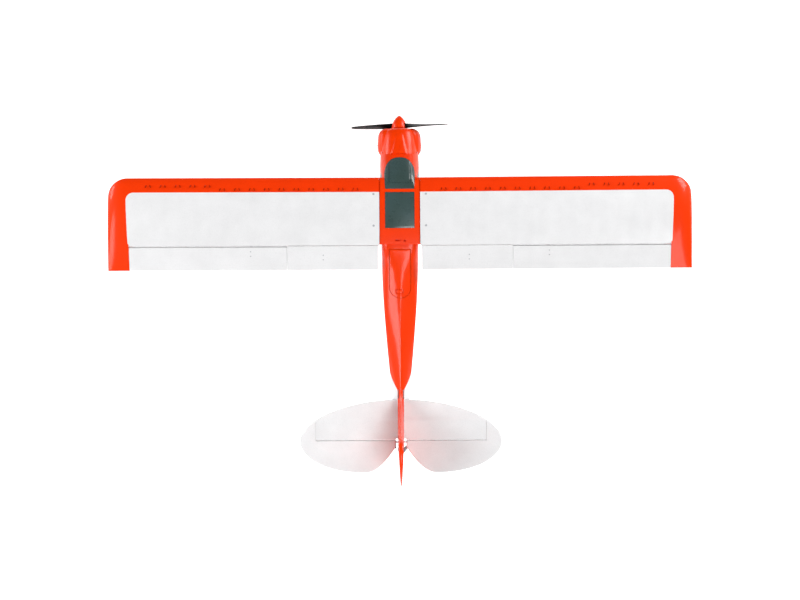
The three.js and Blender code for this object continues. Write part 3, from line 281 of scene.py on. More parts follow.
def offset(outline, inset):
    """An outline moved inwards by the same distance all round, whichever way it runs."""
    points = np.array(outline, float)
    ahead = np.roll(points, -1, 0)
    area = np.sum(points[:, 0] * ahead[:, 1] - ahead[:, 0] * points[:, 1])
    normals = []
    for run in (points - np.roll(points, 1, 0), ahead - points):
        run = run / np.maximum(np.linalg.norm(run, axis=1, keepdims=True), 1e-9)
        normals.append(np.stack([-run[:, 1], run[:, 0]], 1))
    middle = normals[0] + normals[1]
    middle /= np.maximum(np.linalg.norm(middle, axis=1, keepdims=True), 1e-9)
    stretch = np.clip(np.sum(middle * normals[0], 1, keepdims=True), 0.5, 1)
    return points + middle / stretch * inset * np.sign(area)


# ---------------------------------------------------------------- meshes


def linked(obj):
    bpy.context.scene.collection.objects.link(obj)
    return obj


def cleaned(obj, dissolve=False):
    """Joins doubled points and turns the faces outwards; `dissolve` also drops faces of no size."""
    built = bmesh.new()
    built.from_mesh(obj.data)
    bmesh.ops.remove_doubles(built, verts=built.verts, dist=1e-4)
    if dissolve:
        bmesh.ops.dissolve_degenerate(built, edges=built.edges, dist=1e-5)
    bmesh.ops.recalc_face_normals(built, faces=built.faces)
    built.to_mesh(obj.data)
    built.free()
    return obj


def thing(vertices, faces):
    mesh = bpy.data.meshes.new("shape")
    mesh.from_pydata([tuple(v) for v in vertices], [], faces)
    return cleaned(linked(bpy.data.objects.new("shape", mesh)))


def net(rings, rows, columns):
    """The rings' points, and four-sided faces over `rows` rings and `columns` points; both wrap round."""
    count = len(rings[0])
    faces = []
    for r in range(rows):
        a, b = r * count, (r + 1) % len(rings) * count
        faces += [(a + i, a + (i + 1) % count, b + (i + 1) % count, b + i) for i in range(columns)]
    return [point for ring in rings for point in ring], faces


def loft(rings):
    """A skin through rings of equally many points, capped at both ends."""
    count = len(rings[0])
    vertices, faces = net(rings, len(rings) - 1, count)
    faces += [tuple(range(count)), tuple(range(len(vertices) - count, len(vertices)))]
    return thing(vertices, faces)


def turned(profile, sides, axis="x", closed=False, place=(0, 0, 0)):
    """A body turned about x or y from [radius, along] points; a closed profile makes a ring."""
    rings = []
    for up, across in around((0, 0), 1, sides):
        spots = [(along, radius * across, radius * up) for radius, along in profile]
        if axis == "y":
            spots = [(b, a, c) for a, b, c in spots]
        rings.append([Vector(spot) + Vector(place) for spot in spots])
    return cleaned(thing(*net(rings, sides, len(profile) - (0 if closed else 1))), dissolve=True)


def slab(outline, low, high, axis="z"):
    """An outline pushed along an axis. It is [y, z] for axis x, [x, z] for y and [x, y] for z."""
    return loft([[AXES[axis](a, b, level) for a, b in outline] for level in (low, high)])


def block(x0, x1, y0, y1, z0, z1):
    return slab([(x0, y0), (x1, y0), (x1, y1), (x0, y1)], z0, z1)


def pillow(outline, middle, thick, radius, steps):
    """A flat plate with a rounded rim, centred on the height `middle`."""
    rings = []
    for side, levels in ((-1, range(steps + 1)), (1, range(steps, -1, -1))):
        for step in levels:
            angle = step / steps * math.pi / 2
            inset = radius * (1 - math.sin(angle))
            level = middle + side * (thick / 2 - radius * (1 - math.cos(angle)))
            rings.append([(x, y, level) for x, y in offset(outline, inset)])
    return loft(rings)


def frame_along(start, end, towards=(0, 1, 0)):
    """Two unit vectors across the run from start to end; the second lies nearest `towards`."""
    along = (Vector(end) - Vector(start)).normalized()
    side = along.cross(Vector(towards))
    if side.length < 1e-3:
        side = along.cross(Vector((0.3, 0.5, 0.8)))
    side.normalize()
    return side, side.cross(along)


def bar(start, end, across, long=None, sides=24, towards=(0, 1, 0), rim=0.0):
    """A straight bar with an elliptical section; `rim` rounds its ends a little."""
    long = across if long is None else long
    start, end = Vector(start), Vector(end)
    side, flat = frame_along(start, end, towards)
    length = (end - start).length
    rim = min(rim, across * 0.8, length / 3)
    shares = [(0, 1), (1, 1)]
    if rim:
        small = 1 - rim / across
        shares = [(0, small), (rim / length, 1), (1 - rim / length, 1), (1, small)]
    rings = []
    for share, size in shares:
        centre = start.lerp(end, share)
        rings.append([centre + side * (across * size * c) + flat * (long * size * s)
                      for c, s in around((0, 0), 1, sides)])
    return loft(rings)


def peg(axis, low, high, spot, radius, sides=24, rim=0.0):
    """A round bar along an axis; `spot` is where it stands on the other two."""
    put = AXES[axis]
    return bar(put(*spot, low), put(*spot, high), radius, sides=sides, rim=rim)


def bent(corners, radius, bend, sides=14):
    """A wire of straight runs with a round bend of one radius at each corner."""
    points = [Vector(c) for c in corners]
    path = [points[0]]
    for before, corner, after in zip(points, points[1:], points[2:]):
        a, b = (before - corner).normalized(), (after - corner).normalized()
        reach = min(bend, (before - corner).length / 2.2, (after - corner).length / 2.2)
        path += [corner + a * reach * (1 - step / 6) ** 2 + b * reach * (step / 6) ** 2 for step in range(7)]
    path.append(points[-1])
    side, _ = frame_along(path[0], path[1], (0.3, 0.5, 0.8))
    rings = []
    for i, spot in enumerate(path):
        along = (path[min(i + 1, len(path) - 1)] - path[max(i - 1, 0)]).normalized()
        side = (side - along * side.dot(along)).normalized()
        flat = side.cross(along)
        rings.append([spot + side * radius * c + flat * radius * s for c, s in around((0, 0), 1, sides)])
    return loft(rings)


def evaluated(obj):
    """Applies an object's modifiers to its mesh."""
    bpy.context.view_layer.update()
    done = bpy.data.meshes.new_from_object(obj.evaluated_get(bpy.context.evaluated_depsgraph_get()))
    obj.modifiers.clear()
    obj.data = done
    return obj


def carve(obj, *tools, how="DIFFERENCE"):
    """Cuts, joins or intersects an object with others, which are then removed."""
    for tool in tools:
        step = obj.modifiers.new("carve", "BOOLEAN")
        step.operation = how
        step.solver = "EXACT"
        step.object = tool
    evaluated(obj)
    for tool in tools:
        bpy.data.objects.remove(tool)
    return obj


def fuse(obj, *others):
    return carve(obj, *others, how="UNION")


def within(obj, region):
    return carve(obj, region, how="INTERSECT")


def moved(obj, matrix):
    """Moves an object's mesh, and keeps its faces outwards if the matrix mirrors it."""
    obj.data.transform(matrix)
    if matrix.determinant() < 0:
        obj.data.flip_normals()
    return obj


def shifted(x=0.0, y=0.0, z=0.0):
    return Matrix.Translation((x, y, z))


def copied(obj, matrix=Matrix()):
    return moved(linked(bpy.data.objects.new(obj.name, obj.data.copy())), matrix)


def on_side(obj, side):
    """Mirrors a left-hand object in place if it belongs on the right."""
    return moved(obj, Matrix.Diagonal((SIDES[side], 1, 1, 1)))


def together(first, *others):
    """One object from several that don't touch, or may overlap."""
    built = bmesh.new()
    for obj in (first, *others):
        built.from_mesh(obj.data)
    built.to_mesh(first.data)
    built.free()
    for obj in others:
        bpy.data.objects.remove(obj)
    return first


# ---------------------------------------------------------------- materials


class Nodes:
    """A material's or world's node tree, with short calls for the nodes that the looks share."""

    def __init__(self, owner, coordinates="Object"):
        owner.use_nodes = True
        self.owner, self.tree = owner, owner.node_tree
        self.place = self.add("TexCoord").outputs[coordinates]

    def put(self, node, inputs):
        """Sets inputs, each named with _ for a space, to a value or to another node's output."""
        for name, value in inputs.items():
            socket = node.inputs[name.replace("_", " ")]
            if isinstance(value, bpy.types.NodeSocket):
                self.tree.links.new(value, socket)
            else:
                socket.default_value = (*value, 1) if socket.type == "RGBA" else value

    def add(self, kind, settings=(), **inputs):
        node = self.tree.nodes.new("ShaderNode" + kind)
        for name, value in settings:
            setattr(node, name, value)
        self.put(node, inputs)
        return node

    def finished(self, **inputs):
        self.put(self.tree.nodes["Principled BSDF"], inputs)
        return self.owner

    def noise(self, scale, detail=3.0, roughness=0.55, vector=None):
        vector = self.place if vector is None else vector
        node = self.add("TexNoise", Scale=scale, Detail=detail, Roughness=roughness, Vector=vector)
        return node.outputs["Fac"]

    def stretched(self, scale):
        """The object's coordinates, scaled along each axis."""
        return self.add("Mapping", Scale=scale, Vector=self.place).outputs["Vector"]

    def spread(self, value, low, high, from_low=0.3, from_high=0.7):
        """Maps a 0 to 1 texture to a range."""
        node = self.add("MapRange", Value=value, From_Min=from_low, From_Max=from_high,
                        To_Min=low, To_Max=high)
        return node.outputs["Result"]

    def mix(self, factor, first, second, how="MIX"):
        settings = (("data_type", "RGBA"), ("blend_type", how))
        return self.add("Mix", settings, Factor=factor, A=first, B=second).outputs["Result"]

    def shades(self, texture, first, second):
        """A colour that wanders between two with a texture."""
        return self.mix(self.spread(texture, 0, 1), first, second)

    def beads(self, size=0.0026):
        """The net of moulded foam beads: 0 in their middles, 1 along the seams."""
        cells = self.add("TexVoronoi", (("feature", "DISTANCE_TO_EDGE"),), Scale=1 / size, Vector=self.place)
        return self.spread(cells.outputs["Distance"], 1.0, 0.0, 0.0, 0.12)

    def bump(self, *layers):
        """Adds up height layers, each a value and its depth in metres."""
        below = {}
        for height, depth in layers:
            node = self.add("Bump", Distance=depth, Strength=1.0, Height=height, **below)
            below = {"Normal": node.outputs["Normal"]}
        return below["Normal"]


def look(name):
    return Nodes(bpy.data.materials.new(name))


def linear(code):
    """A colour as red, green and blue from its hex code."""
    parts = [int(code[i:i + 2], 16) / 255 for i in (0, 2, 4)]
    return [p / 12.92 if p <= 0.04045 else ((p + 0.055) / 1.055) ** 2.4 for p in parts]


def either_side(colour, darker, lighter):
    return [[min(1.0, c * amount) for c in colour] for amount in (darker, lighter)]


def foam(name, colour, second=None, roughness=0.42, coat=0.0):
    """Moulded foam; with a second colour, painted where the mesh's `paint` distance is above 0."""
    nodes = look(name)
    mottle, seams = nodes.noise(22.0, 4.0), nodes.beads()
    base = nodes.shades(mottle, *either_side(colour, 0.955, 1.02))
    if second is not None:
        distance = nodes.add("Attribute", (("attribute_name", "paint"),)).outputs["Fac"]
        edge = nodes.spread(distance, 0, 1, -0.15, 0.15)
        base = nodes.mix(edge, base, nodes.shades(mottle, *either_side(second, 0.955, 1.02)))
    return nodes.finished(
        Base_Color=nodes.mix(nodes.spread(seams, 0, 0.16, 0, 1), base, (0.6, 0.6, 0.6), "MULTIPLY"),
        Roughness=nodes.spread(nodes.noise(260.0, 2.0), roughness - 0.07, roughness + 0.09),
        Specular_IOR_Level=0.08, Coat_Weight=coat, Coat_Roughness=0.15,
        Normal=nodes.bump((nodes.spread(seams, 1.0, 0.0, 0, 1), 0.00005), (nodes.noise(900.0, 2.0), 0.00002)),
    )


def plastic(name, colour, roughness=0.35, grain=0.00002, coat=0.0, gloss=0.5, haze=0.16):
    """Injection-moulded plastic with a fine grain and slightly uneven gloss."""
    nodes, scuff = look(name), 0.06
    return nodes.finished(
        Base_Color=nodes.shades(nodes.noise(60.0, 4.0), *either_side(colour, 0.9, 1.08)),
        Roughness=nodes.spread(nodes.noise(180.0, 5.0), roughness - scuff, roughness + scuff),
        Specular_IOR_Level=gloss, Coat_Weight=coat, Coat_Roughness=haze,
        Normal=nodes.bump((nodes.noise(1500.0, 2.0), grain)),
    )


def metal(name, colour, roughness=0.3, stretch=(1, 1, 1)):
    """Bright metal, brushed along the stretched axis."""
    nodes = look(name)
    lines = nodes.noise(900.0, vector=nodes.stretched(stretch))
    return nodes.finished(
        Base_Color=nodes.shades(lines, *either_side(colour, 0.86, 1.06)), Metallic=1.0,
        Roughness=nodes.spread(lines, roughness - 0.08, roughness + 0.1), Normal=nodes.bump((lines, 0.00001)),
    )


def rubber(name):
    """Soft black tyre rubber: fine stipple, greyer where dust has settled."""
    nodes = look(name)
    dust = nodes.noise(45.0, 5.0)
    return nodes.finished(
        Base_Color=nodes.mix(nodes.spread(dust, 0, 1, 0.4, 0.75),
                             (0.012, 0.012, 0.013), (0.04, 0.038, 0.036)),
        Roughness=nodes.spread(dust, 0.62, 0.82), Specular_IOR_Level=0.35,
        Normal=nodes.bump((nodes.noise(700.0), 0.00008), (nodes.noise(60.0, 2.0), 0.0003)),
    )


def tinted(name):
    """Dark grey-green glazing, clear-coated."""
    nodes = look(name)
    return nodes.finished(
        Base_Color=nodes.shades(nodes.noise(12.0, 2.0), linear("34443f"), linear("3f5354")),
        Roughness=nodes.spread(nodes.noise(90.0), 0.26, 0.31), Coat_Weight=0.3, Coat_Roughness=0.2,
        Normal=nodes.bump((nodes.noise(25.0, 1.0), 0.00005)),
    )


def birch(name):
    """Thin birch plywood with its grain along x."""
    nodes = look(name)
    grain = nodes.noise(500.0, 5.0, 0.65, nodes.stretched((0.08, 1, 1)))
    return nodes.finished(
        Base_Color=nodes.shades(grain, linear("b98d5c"), linear("dcbb8c")),
        Roughness=nodes.spread(grain, 0.5, 0.68), Normal=nodes.bump((grain, 0.00008)),
    )


def carbon(name):
    """Pultruded carbon: long dark streaks under a thin gloss."""
    nodes = look(name)
    streaks = nodes.noise(1800.0, vector=nodes.stretched((0.03, 1, 1)))
    return nodes.finished(
        Base_Color=nodes.shades(streaks, (0.008, 0.008, 0.009), (0.035, 0.035, 0.038)),
        Roughness=nodes.spread(streaks, 0.25, 0.45), Coat_Weight=0.3,
    )


ORANGE = [0.87, 0.04, 0.0008]
WHITE = linear("e4e4e5")
M = {
    "orange_foam": foam("orange_foam", ORANGE, coat=0.4),
    "white_foam": foam("white_foam", WHITE, roughness=0.5),
    "two_tone_foam": foam("two_tone_foam", WHITE, ORANGE, roughness=0.46, coat=0.3),
    "orange_plastic": plastic("orange_plastic", ORANGE, 0.34, coat=0.35, gloss=0.08, haze=0.27),
    "propeller_nylon": plastic("propeller_nylon", [0.003, 0.003, 0.0035], 0.4, 0.00004, gloss=0.15),
    "tinted_plastic": tinted("tinted_plastic"),
    "black_plastic": plastic("black_plastic", [0.014, 0.014, 0.015], 0.45, 0.00005),
    "white_nylon": plastic("white_nylon", [0.78, 0.78, 0.75], 0.42),
    "servo_case": plastic("servo_case", [0.012, 0.06, 0.3], 0.25, coat=0.3),
    "tundra_rubber": rubber("tundra_rubber"),
    "wire": metal("wire", [0.62, 0.63, 0.65], 0.24),
    "motor_metal": metal("motor_metal", [0.7, 0.71, 0.73], 0.28, (1, 0.2, 1)),
    "carbon_tube": carbon("carbon_tube"),
    "plywood": birch("plywood"),
    "battery_wrap": plastic("battery_wrap", [0.01, 0.035, 0.16], 0.22, coat=0.5),
    "black_heatshrink": plastic("black_heatshrink", [0.01, 0.01, 0.01], 0.4, 0.00008),
    "gear_enamel": plastic("gear_enamel", [0.8, 0.8, 0.8], 0.3, coat=0.3),
}
# looks beside the slots' own: the painted hull, small pieces of another metal or plastic, and a darker red
# for the vanes that is painted shade
HULL_FOAM = foam("fuselage_foam", WHITE, ORANGE, roughness=0.44, coat=0.4)
SCREW = metal("screw_steel", [0.42, 0.43, 0.45], 0.32)
SPRING = metal("spring_steel", [0.09, 0.09, 0.095], 0.34)
COPPER = metal("copper_wire", [0.72, 0.33, 0.16], 0.35)
GREY = plastic("grey_plastic", [0.2, 0.2, 0.21], 0.4)
PALE = plastic("pale_screw", [0.42, 0.43, 0.45], 0.4)
# painted shade: the vanes are orange tabs, coloured a darker red here so that they read as shaded
SHADE_DARKENED_VANE = plastic("vane_red_darkened_as_shade", [0.3, 0.01, 0.001], 0.2, coat=0.6)


def finish(obj, name, body, slot, *nodes, matrix=LEVEL, angle=32, rim=0.0, material=None):
    """Names a piece, rounds its edges, places it, gives it its slot's material or the one given, parents it
    to its body and hides its CAD nodes.
    """
    obj.name = name
    obj.data.name = name
    if rim:
        edge = obj.modifiers.new("rim", "BEVEL")
        edge.width = rim
        edge.segments = 2
        edge.limit_method = "ANGLE"
        edge.angle_limit = math.radians(angle)
        edge.use_clamp_overlap = True
        evaluated(obj)
    moved(obj, matrix)
    obj.data.materials.clear()
    obj.data.materials.append(material or M[slot])
    obj.data.shade_smooth()
    obj.data.set_sharp_from_angle(angle=math.radians(angle))
    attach(obj, body)
    if nodes:
        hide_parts(*nodes)


def extra(pieces, name, material, body="airframe", **ways):
    """Small pieces that the CAD model leaves out, finished as one."""
    finish(together(*pieces), name, body, None, material=material, **ways)


def paint(obj, distance):
    """Stores how far each vertex is inside the second colour, in millimetres."""
    layer = obj.data.attributes.new("paint", "FLOAT", "POINT")
    layer.data.foreach_set("value", [float(distance(*v.co)) for v in obj.data.vertices])


# ---------------------------------------------------------------- wings


def skin(y, side):
    """Height of the wing's upper (side 1) or lower (side -1) skin above its chord line."""
    u = min(max((y - WING.nose) / WING.chord, 0), 1)
    m, p, t = WING.camber, WING.camber_at, WING.thickness
    line = m / p ** 2 * (2 * p * u - u ** 2) if u < p else m / (1 - p) ** 2 * (1 - 2 * p + 2 * p * u - u ** 2)
    half = 5 * t * (0.2969 * math.sqrt(u) - 0.126 * u - 0.3516 * u ** 2 + 0.2843 * u ** 3 - 0.1036 * u ** 4)
    return WING.chord * (line + side * half) + side * WING.edge / 2 * u


HINGE_Z = (skin(HINGE_Y, 1) + skin(HINGE_Y, -1)) / 2
BACK_Y = WING.nose + WING.chord
ARM_Y = HINGE_Y - LINKAGE.run
ARM_PIVOT = (ARM_Y, skin(ARM_Y, -1) + SERVO.width / 2 + 0.3)
ARM_HOLE = (ARM_Y, ARM_PIVOT[1] - LINKAGE.arm)
HORN_HOLE = (HINGE_Y, HINGE_Z - LINKAGE.arm)
SERVO_ENDS = (ARM_Y + SERVO.shaft - SERVO.length, ARM_Y + SERVO.shaft)


def sag(x, y):
    """How far the covering sinks between two ribs, in millimetres."""
    along = (y - WING.nose) / (HINGE_Y - WING.nose)
    if not RIBS.behind < along < 1 or not RIBS.first < x < RIBS.last:
        return 0.0
    fade = math.sin(math.pi * (along - RIBS.behind) / (1 - RIBS.behind)) ** 0.6
    return RIBS.sag * fade * math.sin(math.pi * (x - RIBS.start) / RIBS.pitch) ** 2


def wing_shape(x):
    """The nose's y and the share of the full depth at a place along the span."""
    over = max(0.0, x - (WING.tip - WING.tip_corner)) / WING.tip_corner
    nose = WING.nose + WING.tip_corner * (1 - math.sqrt(max(0.0, 1 - over ** 2)))
    rise = max(0.0, x - (WING.tip - WING.tip_rise)) / WING.tip_rise
    depth = WING.tip_edge + (1 - WING.tip_edge) * math.sqrt(max(0.0, 1 - rise ** 2))
    return nose, depth


def wing_point(x, u, side):
    nose, depth = wing_shape(x)
    flat = WING.nose + WING.chord * u
    z = WING.low + (skin(flat, side) - WING.low) * depth
    return (x, nose + (BACK_Y - nose) * u, z - (sag(x, flat) if side > 0 else 0))


def wing_ring(x, per_side=44):
    """The wing's section at x, from the trailing edge over the top and back underneath."""
    ring = [wing_point(x, (1 + math.cos(math.pi * i / per_side)) / 2, 1) for i in range(per_side)]
    ring += [wing_point(x, (1 - math.cos(math.pi * i / per_side)) / 2, -1) for i in range(per_side + 1)]
    return ring


def band_distance(x, y, z):
    """Distance inside the painted leading-edge and tip bands; negative on the white."""
    nose = WING.nose + BAND.depth
    tip = BAND.tip - BAND.lean * (y - nose) / (HINGE_Y - nose)
    if y > HINGE_Y - 0.4:
        tip = AILERON.outer - 3
    a, b = nose - y + BAND.corner, x - tip + BAND.corner
    if a > 0 and b > 0:
        return math.hypot(a, b) - BAND.corner
    return max(nose - y, x - tip)


def servo_pocket(x):
    """The recess under the wing for a servo and its arm, and the one for its ears."""
    room, deep = 0.6, 9.0
    half = SERVO.width / 2 + 0.5
    levels = (ARM_PIVOT[1] - half - deep, ARM_PIVOT[1] + half)
    front, back = SERVO_ENDS
    end = x + SERVO.shaft + SERVO.height + room
    ear = x + SERVO.shaft + SERVO.ear_at - room
    reach = SERVO.ear_reach
    return (block(x - 1, end, front - room, back + room, *levels),
            block(ear, ear + SERVO.ear + 2 * room, front - reach, back + reach, *levels))


def wing_panel(side):
    """The fixed part of a wing half, with its painted bands and the servo recesses under it."""
    last_rib = RIBS.start + RIBS.count * RIBS.pitch
    step = RIBS.pitch / 6
    stations = spaced(CENTRE.half + 0.2, (RIBS.start, step), (last_rib, step), (606, 3), (WING.tip, 1.6))
    panel = loft([wing_ring(x) for x in stations])
    # the cut for the surfaces leaves a low ridge along the hinge line, which hides the gap
    front, ridge, far = HINGE_Y - 0.6, 0.8, 60
    behind = [(0, -far), (front, -far), (front, HINGE_Z - ridge), (HINGE_Y - 0.02, HINGE_Z),
              (front, HINGE_Z + ridge), (front, far), (0, far)]
    tools = [slab(behind, WING.root - 2, AILERON.outer + 0.3, "x")]
    for kind in SURFACES:
        tools += servo_pocket(HORNS[kind, side][0])
    carve(panel, *tools)
    paint(panel, band_distance)
    finish(panel, f"wing_panel_{side}", "airframe", "two_tone_foam", f"wing_{side}", matrix=ON_WING[side],
           angle=38)


def surface(side, kind):
    """A flap or aileron: the wing's section behind the hinge with a bevelled, slightly rounded front."""
    span = SURFACES[kind]
    lean_up, lean_down = (math.tan(math.radians(turn + SPARE_TURN)) for turn in (span.up, span.down))
    top_y = bottom_y = HINGE_Y
    for _ in range(12):
        top_y = HINGE_Y + (skin(top_y, 1) - HINGE_Z) * lean_up
        bottom_y = HINGE_Y + (HINGE_Z - skin(bottom_y, -1)) * lean_down
    shares = [i / 16 for i in range(17)]
    over = [BACK_Y + (top_y - BACK_Y) * share for share in shares]
    under = [bottom_y + (BACK_Y - bottom_y) * share for share in shares]
    section = [(y, skin(y, 1)) for y in over] + [(HINGE_Y + 0.15, HINGE_Z)]
    section += [(y, skin(y, -1)) for y in under]
    inner, outer = span.inner + 0.1, span.outer - 0.1
    stations = spaced(inner, (inner + 1.6, 0.8), (outer - 1.6, 12), (outer, 0.8))
    obj = loft([[(x, y, z) for y, z in section] for x in stations])
    name = f"{kind}_{side}"
    finish(obj, f"{kind}_foam_{side}", name, "white_foam", name, matrix=ON_WING[side], angle=28, rim=0.5)


def round_hole(x, spot):
    return peg("x", x - 4, x + 9, spot, LINKAGE.hole, 20)


def horn_plate(x, outline):
    near = x + LINKAGE.plate_at
    return slab(outline, near, near + LINKAGE.plate, "x")


def surface_horn(side, kind, x, first):
    """A plate under the surface, reaching forward to below its hinge, on a screwed foot."""
    def under(dy):
        return skin(HINGE_Y + dy, -1) - 0.3

    y, z = HORN_HOLE
    last = first + HORN.foot
    outline = [(HINGE_Y + last, under(last)), (HINGE_Y + first, under(first)), (y - 2.6, z + 1.2),
               (y - 2.7, z - 0.8), (y - 1.6, z - 2.2), (y, z - 2.8), (y + 1.6, z - 2.6), (y + 4, z - 0.4)]
    plate = horn_plate(x, outline)
    middle = x + LINKAGE.plate_at + LINKAGE.plate / 2
    top = min(under(first), under(last)) - HORN.base_drop
    half = HORN.wide / 2
    fuse(plate, block(middle - half, middle + half, HINGE_Y + first, HINGE_Y + last, top - HORN.base, top))
    carve(plate, round_hole(x, HORN_HOLE))
    finish(plate, f"{kind}_control_horn_{side}", f"{kind}_{side}", "white_nylon", f"{kind}_horn_{side}",
           matrix=ON_WING[side], rim=0.25)


def servo_arm(side, kind, x):
    """A tapered arm with a row of spare holes and the screw that holds it to the servo."""
    y, z = ARM_PIVOT
    plate = horn_plate(x, arc(ARM_PIVOT, ARM.top, 8) + arc(ARM_HOLE, ARM.end, 6, math.pi))
    fuse(plate, peg("x", x + 0.6, x + 4.2, ARM_PIVOT, ARM.boss, 32))
    levels = [z - ARM.spare_from - ARM.spare_step * i for i in range(3)]
    spare = [peg("x", x, x + 4, (y, level), ARM.spare, 14) for level in levels]
    carve(plate, round_hole(x, ARM_HOLE), *spare)
    body = f"{kind}_arm_{side}"
    finish(plate, f"{kind}_servo_arm_{side}", body, "white_nylon", body, matrix=ON_WING[side], rim=0.2)
    screw = turned([(0, x + 0.2), (1.5, x + 0.2), (1.5, x + 0.9), (0, x + 0.9)], 20, place=(0, y, z))
    extra([screw], f"{kind}_arm_screw_{side}", SCREW, body, matrix=ON_WING[side])


def rod_wire(corners, name, body, matrix=LEVEL):
    """A pushrod's wire with its bent ends; its CAD node has its body's name."""
    finish(bent(corners, LINKAGE.wire, LINKAGE.bend), name, body, "wire", body, matrix=matrix, angle=40)


def push_rod(side, kind, x):
    """The wire with its ends bent through the holes, and the collar that sets its length."""
    out = x + 4.3
    path = [(out, *ARM_HOLE), (x, *ARM_HOLE), (x, *HORN_HOLE), (out, *HORN_HOLE)]
    body = f"{kind}_rod_{side}"
    rod_wire(path, f"{kind}_push_rod_{side}", body, ON_WING[side])
    ends = (Vector(path[1]).lerp(Vector(path[2]), share) for share in (0.76, 0.87))
    collar = bar(*ends, 1.9, towards=(1, 0, 0), rim=0.4)
    extra([collar], f"{kind}_rod_collar_{side}", M["black_plastic"], body, matrix=ON_WING[side])


def wing_servo(side, kind, x):
    """A micro servo lying on its side, with its cover seams, ears, screw holes and gear boss."""
    z = ARM_PIVOT[1]
    x0, x1 = x + SERVO.shaft, x + SERVO.shaft + SERVO.height
    front, back = SERVO_ENDS
    half, reach, deep = SERVO.width / 2, SERVO.ear_reach, SERVO.seam_deep
    ear = x0 + SERVO.ear_at
    case = block(x0, x1, front, back, z - half, z + half)
    fuse(case, block(ear, ear + SERVO.ear, front - reach, back + reach, z - half, z + half))
    tools = []
    for at in (x0 + 8.5, x1 - 4):
        ring = block(at, at + SERVO.seam, front - 1, back + 1, z - half - 1, z + half + 1)
        core = block(at - 1, at + 2, front + deep, back - deep, z - half + deep, z + half - deep)
        tools.append(carve(ring, core))
    tools += [peg("x", x0 + 2, x0 + 8, (spot, z), 1.0, 16) for spot in (front - 2.4, back + 2.4)]
    carve(case, *tools)
    finish(case, f"{kind}_servo_case_{side}", "airframe", "servo_case", f"{kind}_servo_{side}",
           matrix=ON_WING[side], rim=0.3)
    boss = peg("x", x + 4.4, x0 + 0.5, ARM_PIVOT, 2.2)
    extra([boss], f"{kind}_servo_shaft_{side}", M["white_nylon"], matrix=ON_WING[side])


def domed_screw(x, y, radius=1.6, proud=0.5):
    """A small pan head on the wing's upper skin, with a cross slot."""
    z, steps = skin(y, 1), 5
    rings = []
    for i in range(steps + 1):
        angle = i / steps * math.pi / 2
        level = z + proud * math.sin(angle) - 0.2
        rings.append([(*spot, level) for spot in around((x, y), radius * math.cos(angle) + 1e-3, 18)])
    head = loft(rings)
    top = z + proud
    for wide, long in ((radius * 0.6, 0.22), (0.22, radius * 0.6)):
        carve(head, block(x - wide, x + wide, y - long, y + long, top - 0.45, top + 0.45))
    return head


def vortex_generator(x, y, turn):
    """One small vane of a pair on the wing's nose, cut off square behind."""
    reach = VANES.length / 2
    sides = {-1: [], 1: []}
    for along, up in ((-reach, 0.1), (-reach / 3, VANES.tall), (reach, VANES.tall), (reach, 0.1)):
        half = VANES.thick / 2 * (0.65 if up > 1 else 1)
        for side, points in sides.items():
            px = x + along * math.sin(turn) + side * half * math.cos(turn)
            py = y + along * math.cos(turn) - side * half * math.sin(turn)
            points.append((px, py, skin(py, 1) - 0.5 + up))
    return loft([sides[-1], sides[1]])


def wing_details(side):
    """The vanes along the nose, the bolts at the root and the screws over the horns."""
    matrix = ON_WING[side]
    vanes = []
    for i in range(RIBS.count):
        x = RIBS.start + RIBS.pitch * i
        y = WING.nose + (VANES.inner if i < VANES.inner_pairs else VANES.outer)
        vanes += [vortex_generator(x + sign * VANES.apart, y, sign * math.radians(VANES.turn))
                  for sign in (-1, 1)]
    # the vanes' darker red is painted shade
    extra(vanes, f"vortex_generators_{side}", SHADE_DARKENED_VANE, matrix=matrix, angle=20)
    bolts = [domed_screw(WING_BOLTS.x, y, WING_BOLTS.radius, WING_BOLTS.proud) for y in WING_BOLTS.ys]
    extra(bolts, f"wing_bolts_{side}", PALE, matrix=matrix)
    for kind in SURFACES:
        x, first = HORNS[kind, side]
        middle = x + LINKAGE.plate_at + LINKAGE.plate / 2
        screws = [domed_screw(middle, HINGE_Y + first + dy) for dy in (2.5, HORN.foot - 2.5)]
        extra(screws, f"{kind}_horn_screws_{side}", PALE, f"{kind}_{side}", matrix=matrix)


for side in SIDES:
    wing_panel(side)
    for kind in SURFACES:
        x, first = HORNS[kind, side]
        surface(side, kind)
        surface_horn(side, kind, x, first)
        servo_arm(side, kind, x)
        push_rod(side, kind, x)
        wing_servo(side, kind, x)
    wing_details(side)

# ---------------------------------------------------------------- fuselage

station = through(STATIONS)
# the height of the paint's lower edge along the fuselage
white_edge = through([(-20, -70), (10, -43), (60, -17), (120, 3), (158, 18.5), (172, 22.1), (185.6, 25.9),
                      (197, 30.3), (206, 34), (222, 39.5), (262, 38.6), (300, 36.6), (331, 35.2)])


def white_below(x, y, z):
    """Distance inside the paint: negative on the white lower rear, and in the fin's foot."""
    above = (z - white_edge(y)[0]) * 0.92
    foot = min(y - FIN.front + 1, FIN.foot / 2 - abs(x), z - 28)
    return max(above, foot)


def hull(y0, y1, inset=0.0, step=6.0):
    rings = []
    for y in spaced(y0, (y1, step)):
        half, belly, widest, roof, power = station(y)
        rings.append(oval(y, widest, half - inset, belly + inset, roof - inset, BELLY_POWER, power))
    return loft(rings)


def centre_section(count=40):
    """The wing's section carried across the cabin."""
    length = CENTRE.back - WING.nose
    ys = [WING.nose + length * (1 - math.cos(math.pi * i / (2 * count))) for i in range(count + 1)]
    top, bottom = ([(y, WING.height + skin(y, side)) for y in ys] for side in (1, -1))
    return slab(bottom + top[:0:-1], -CENTRE.half, CENTRE.half, "x")


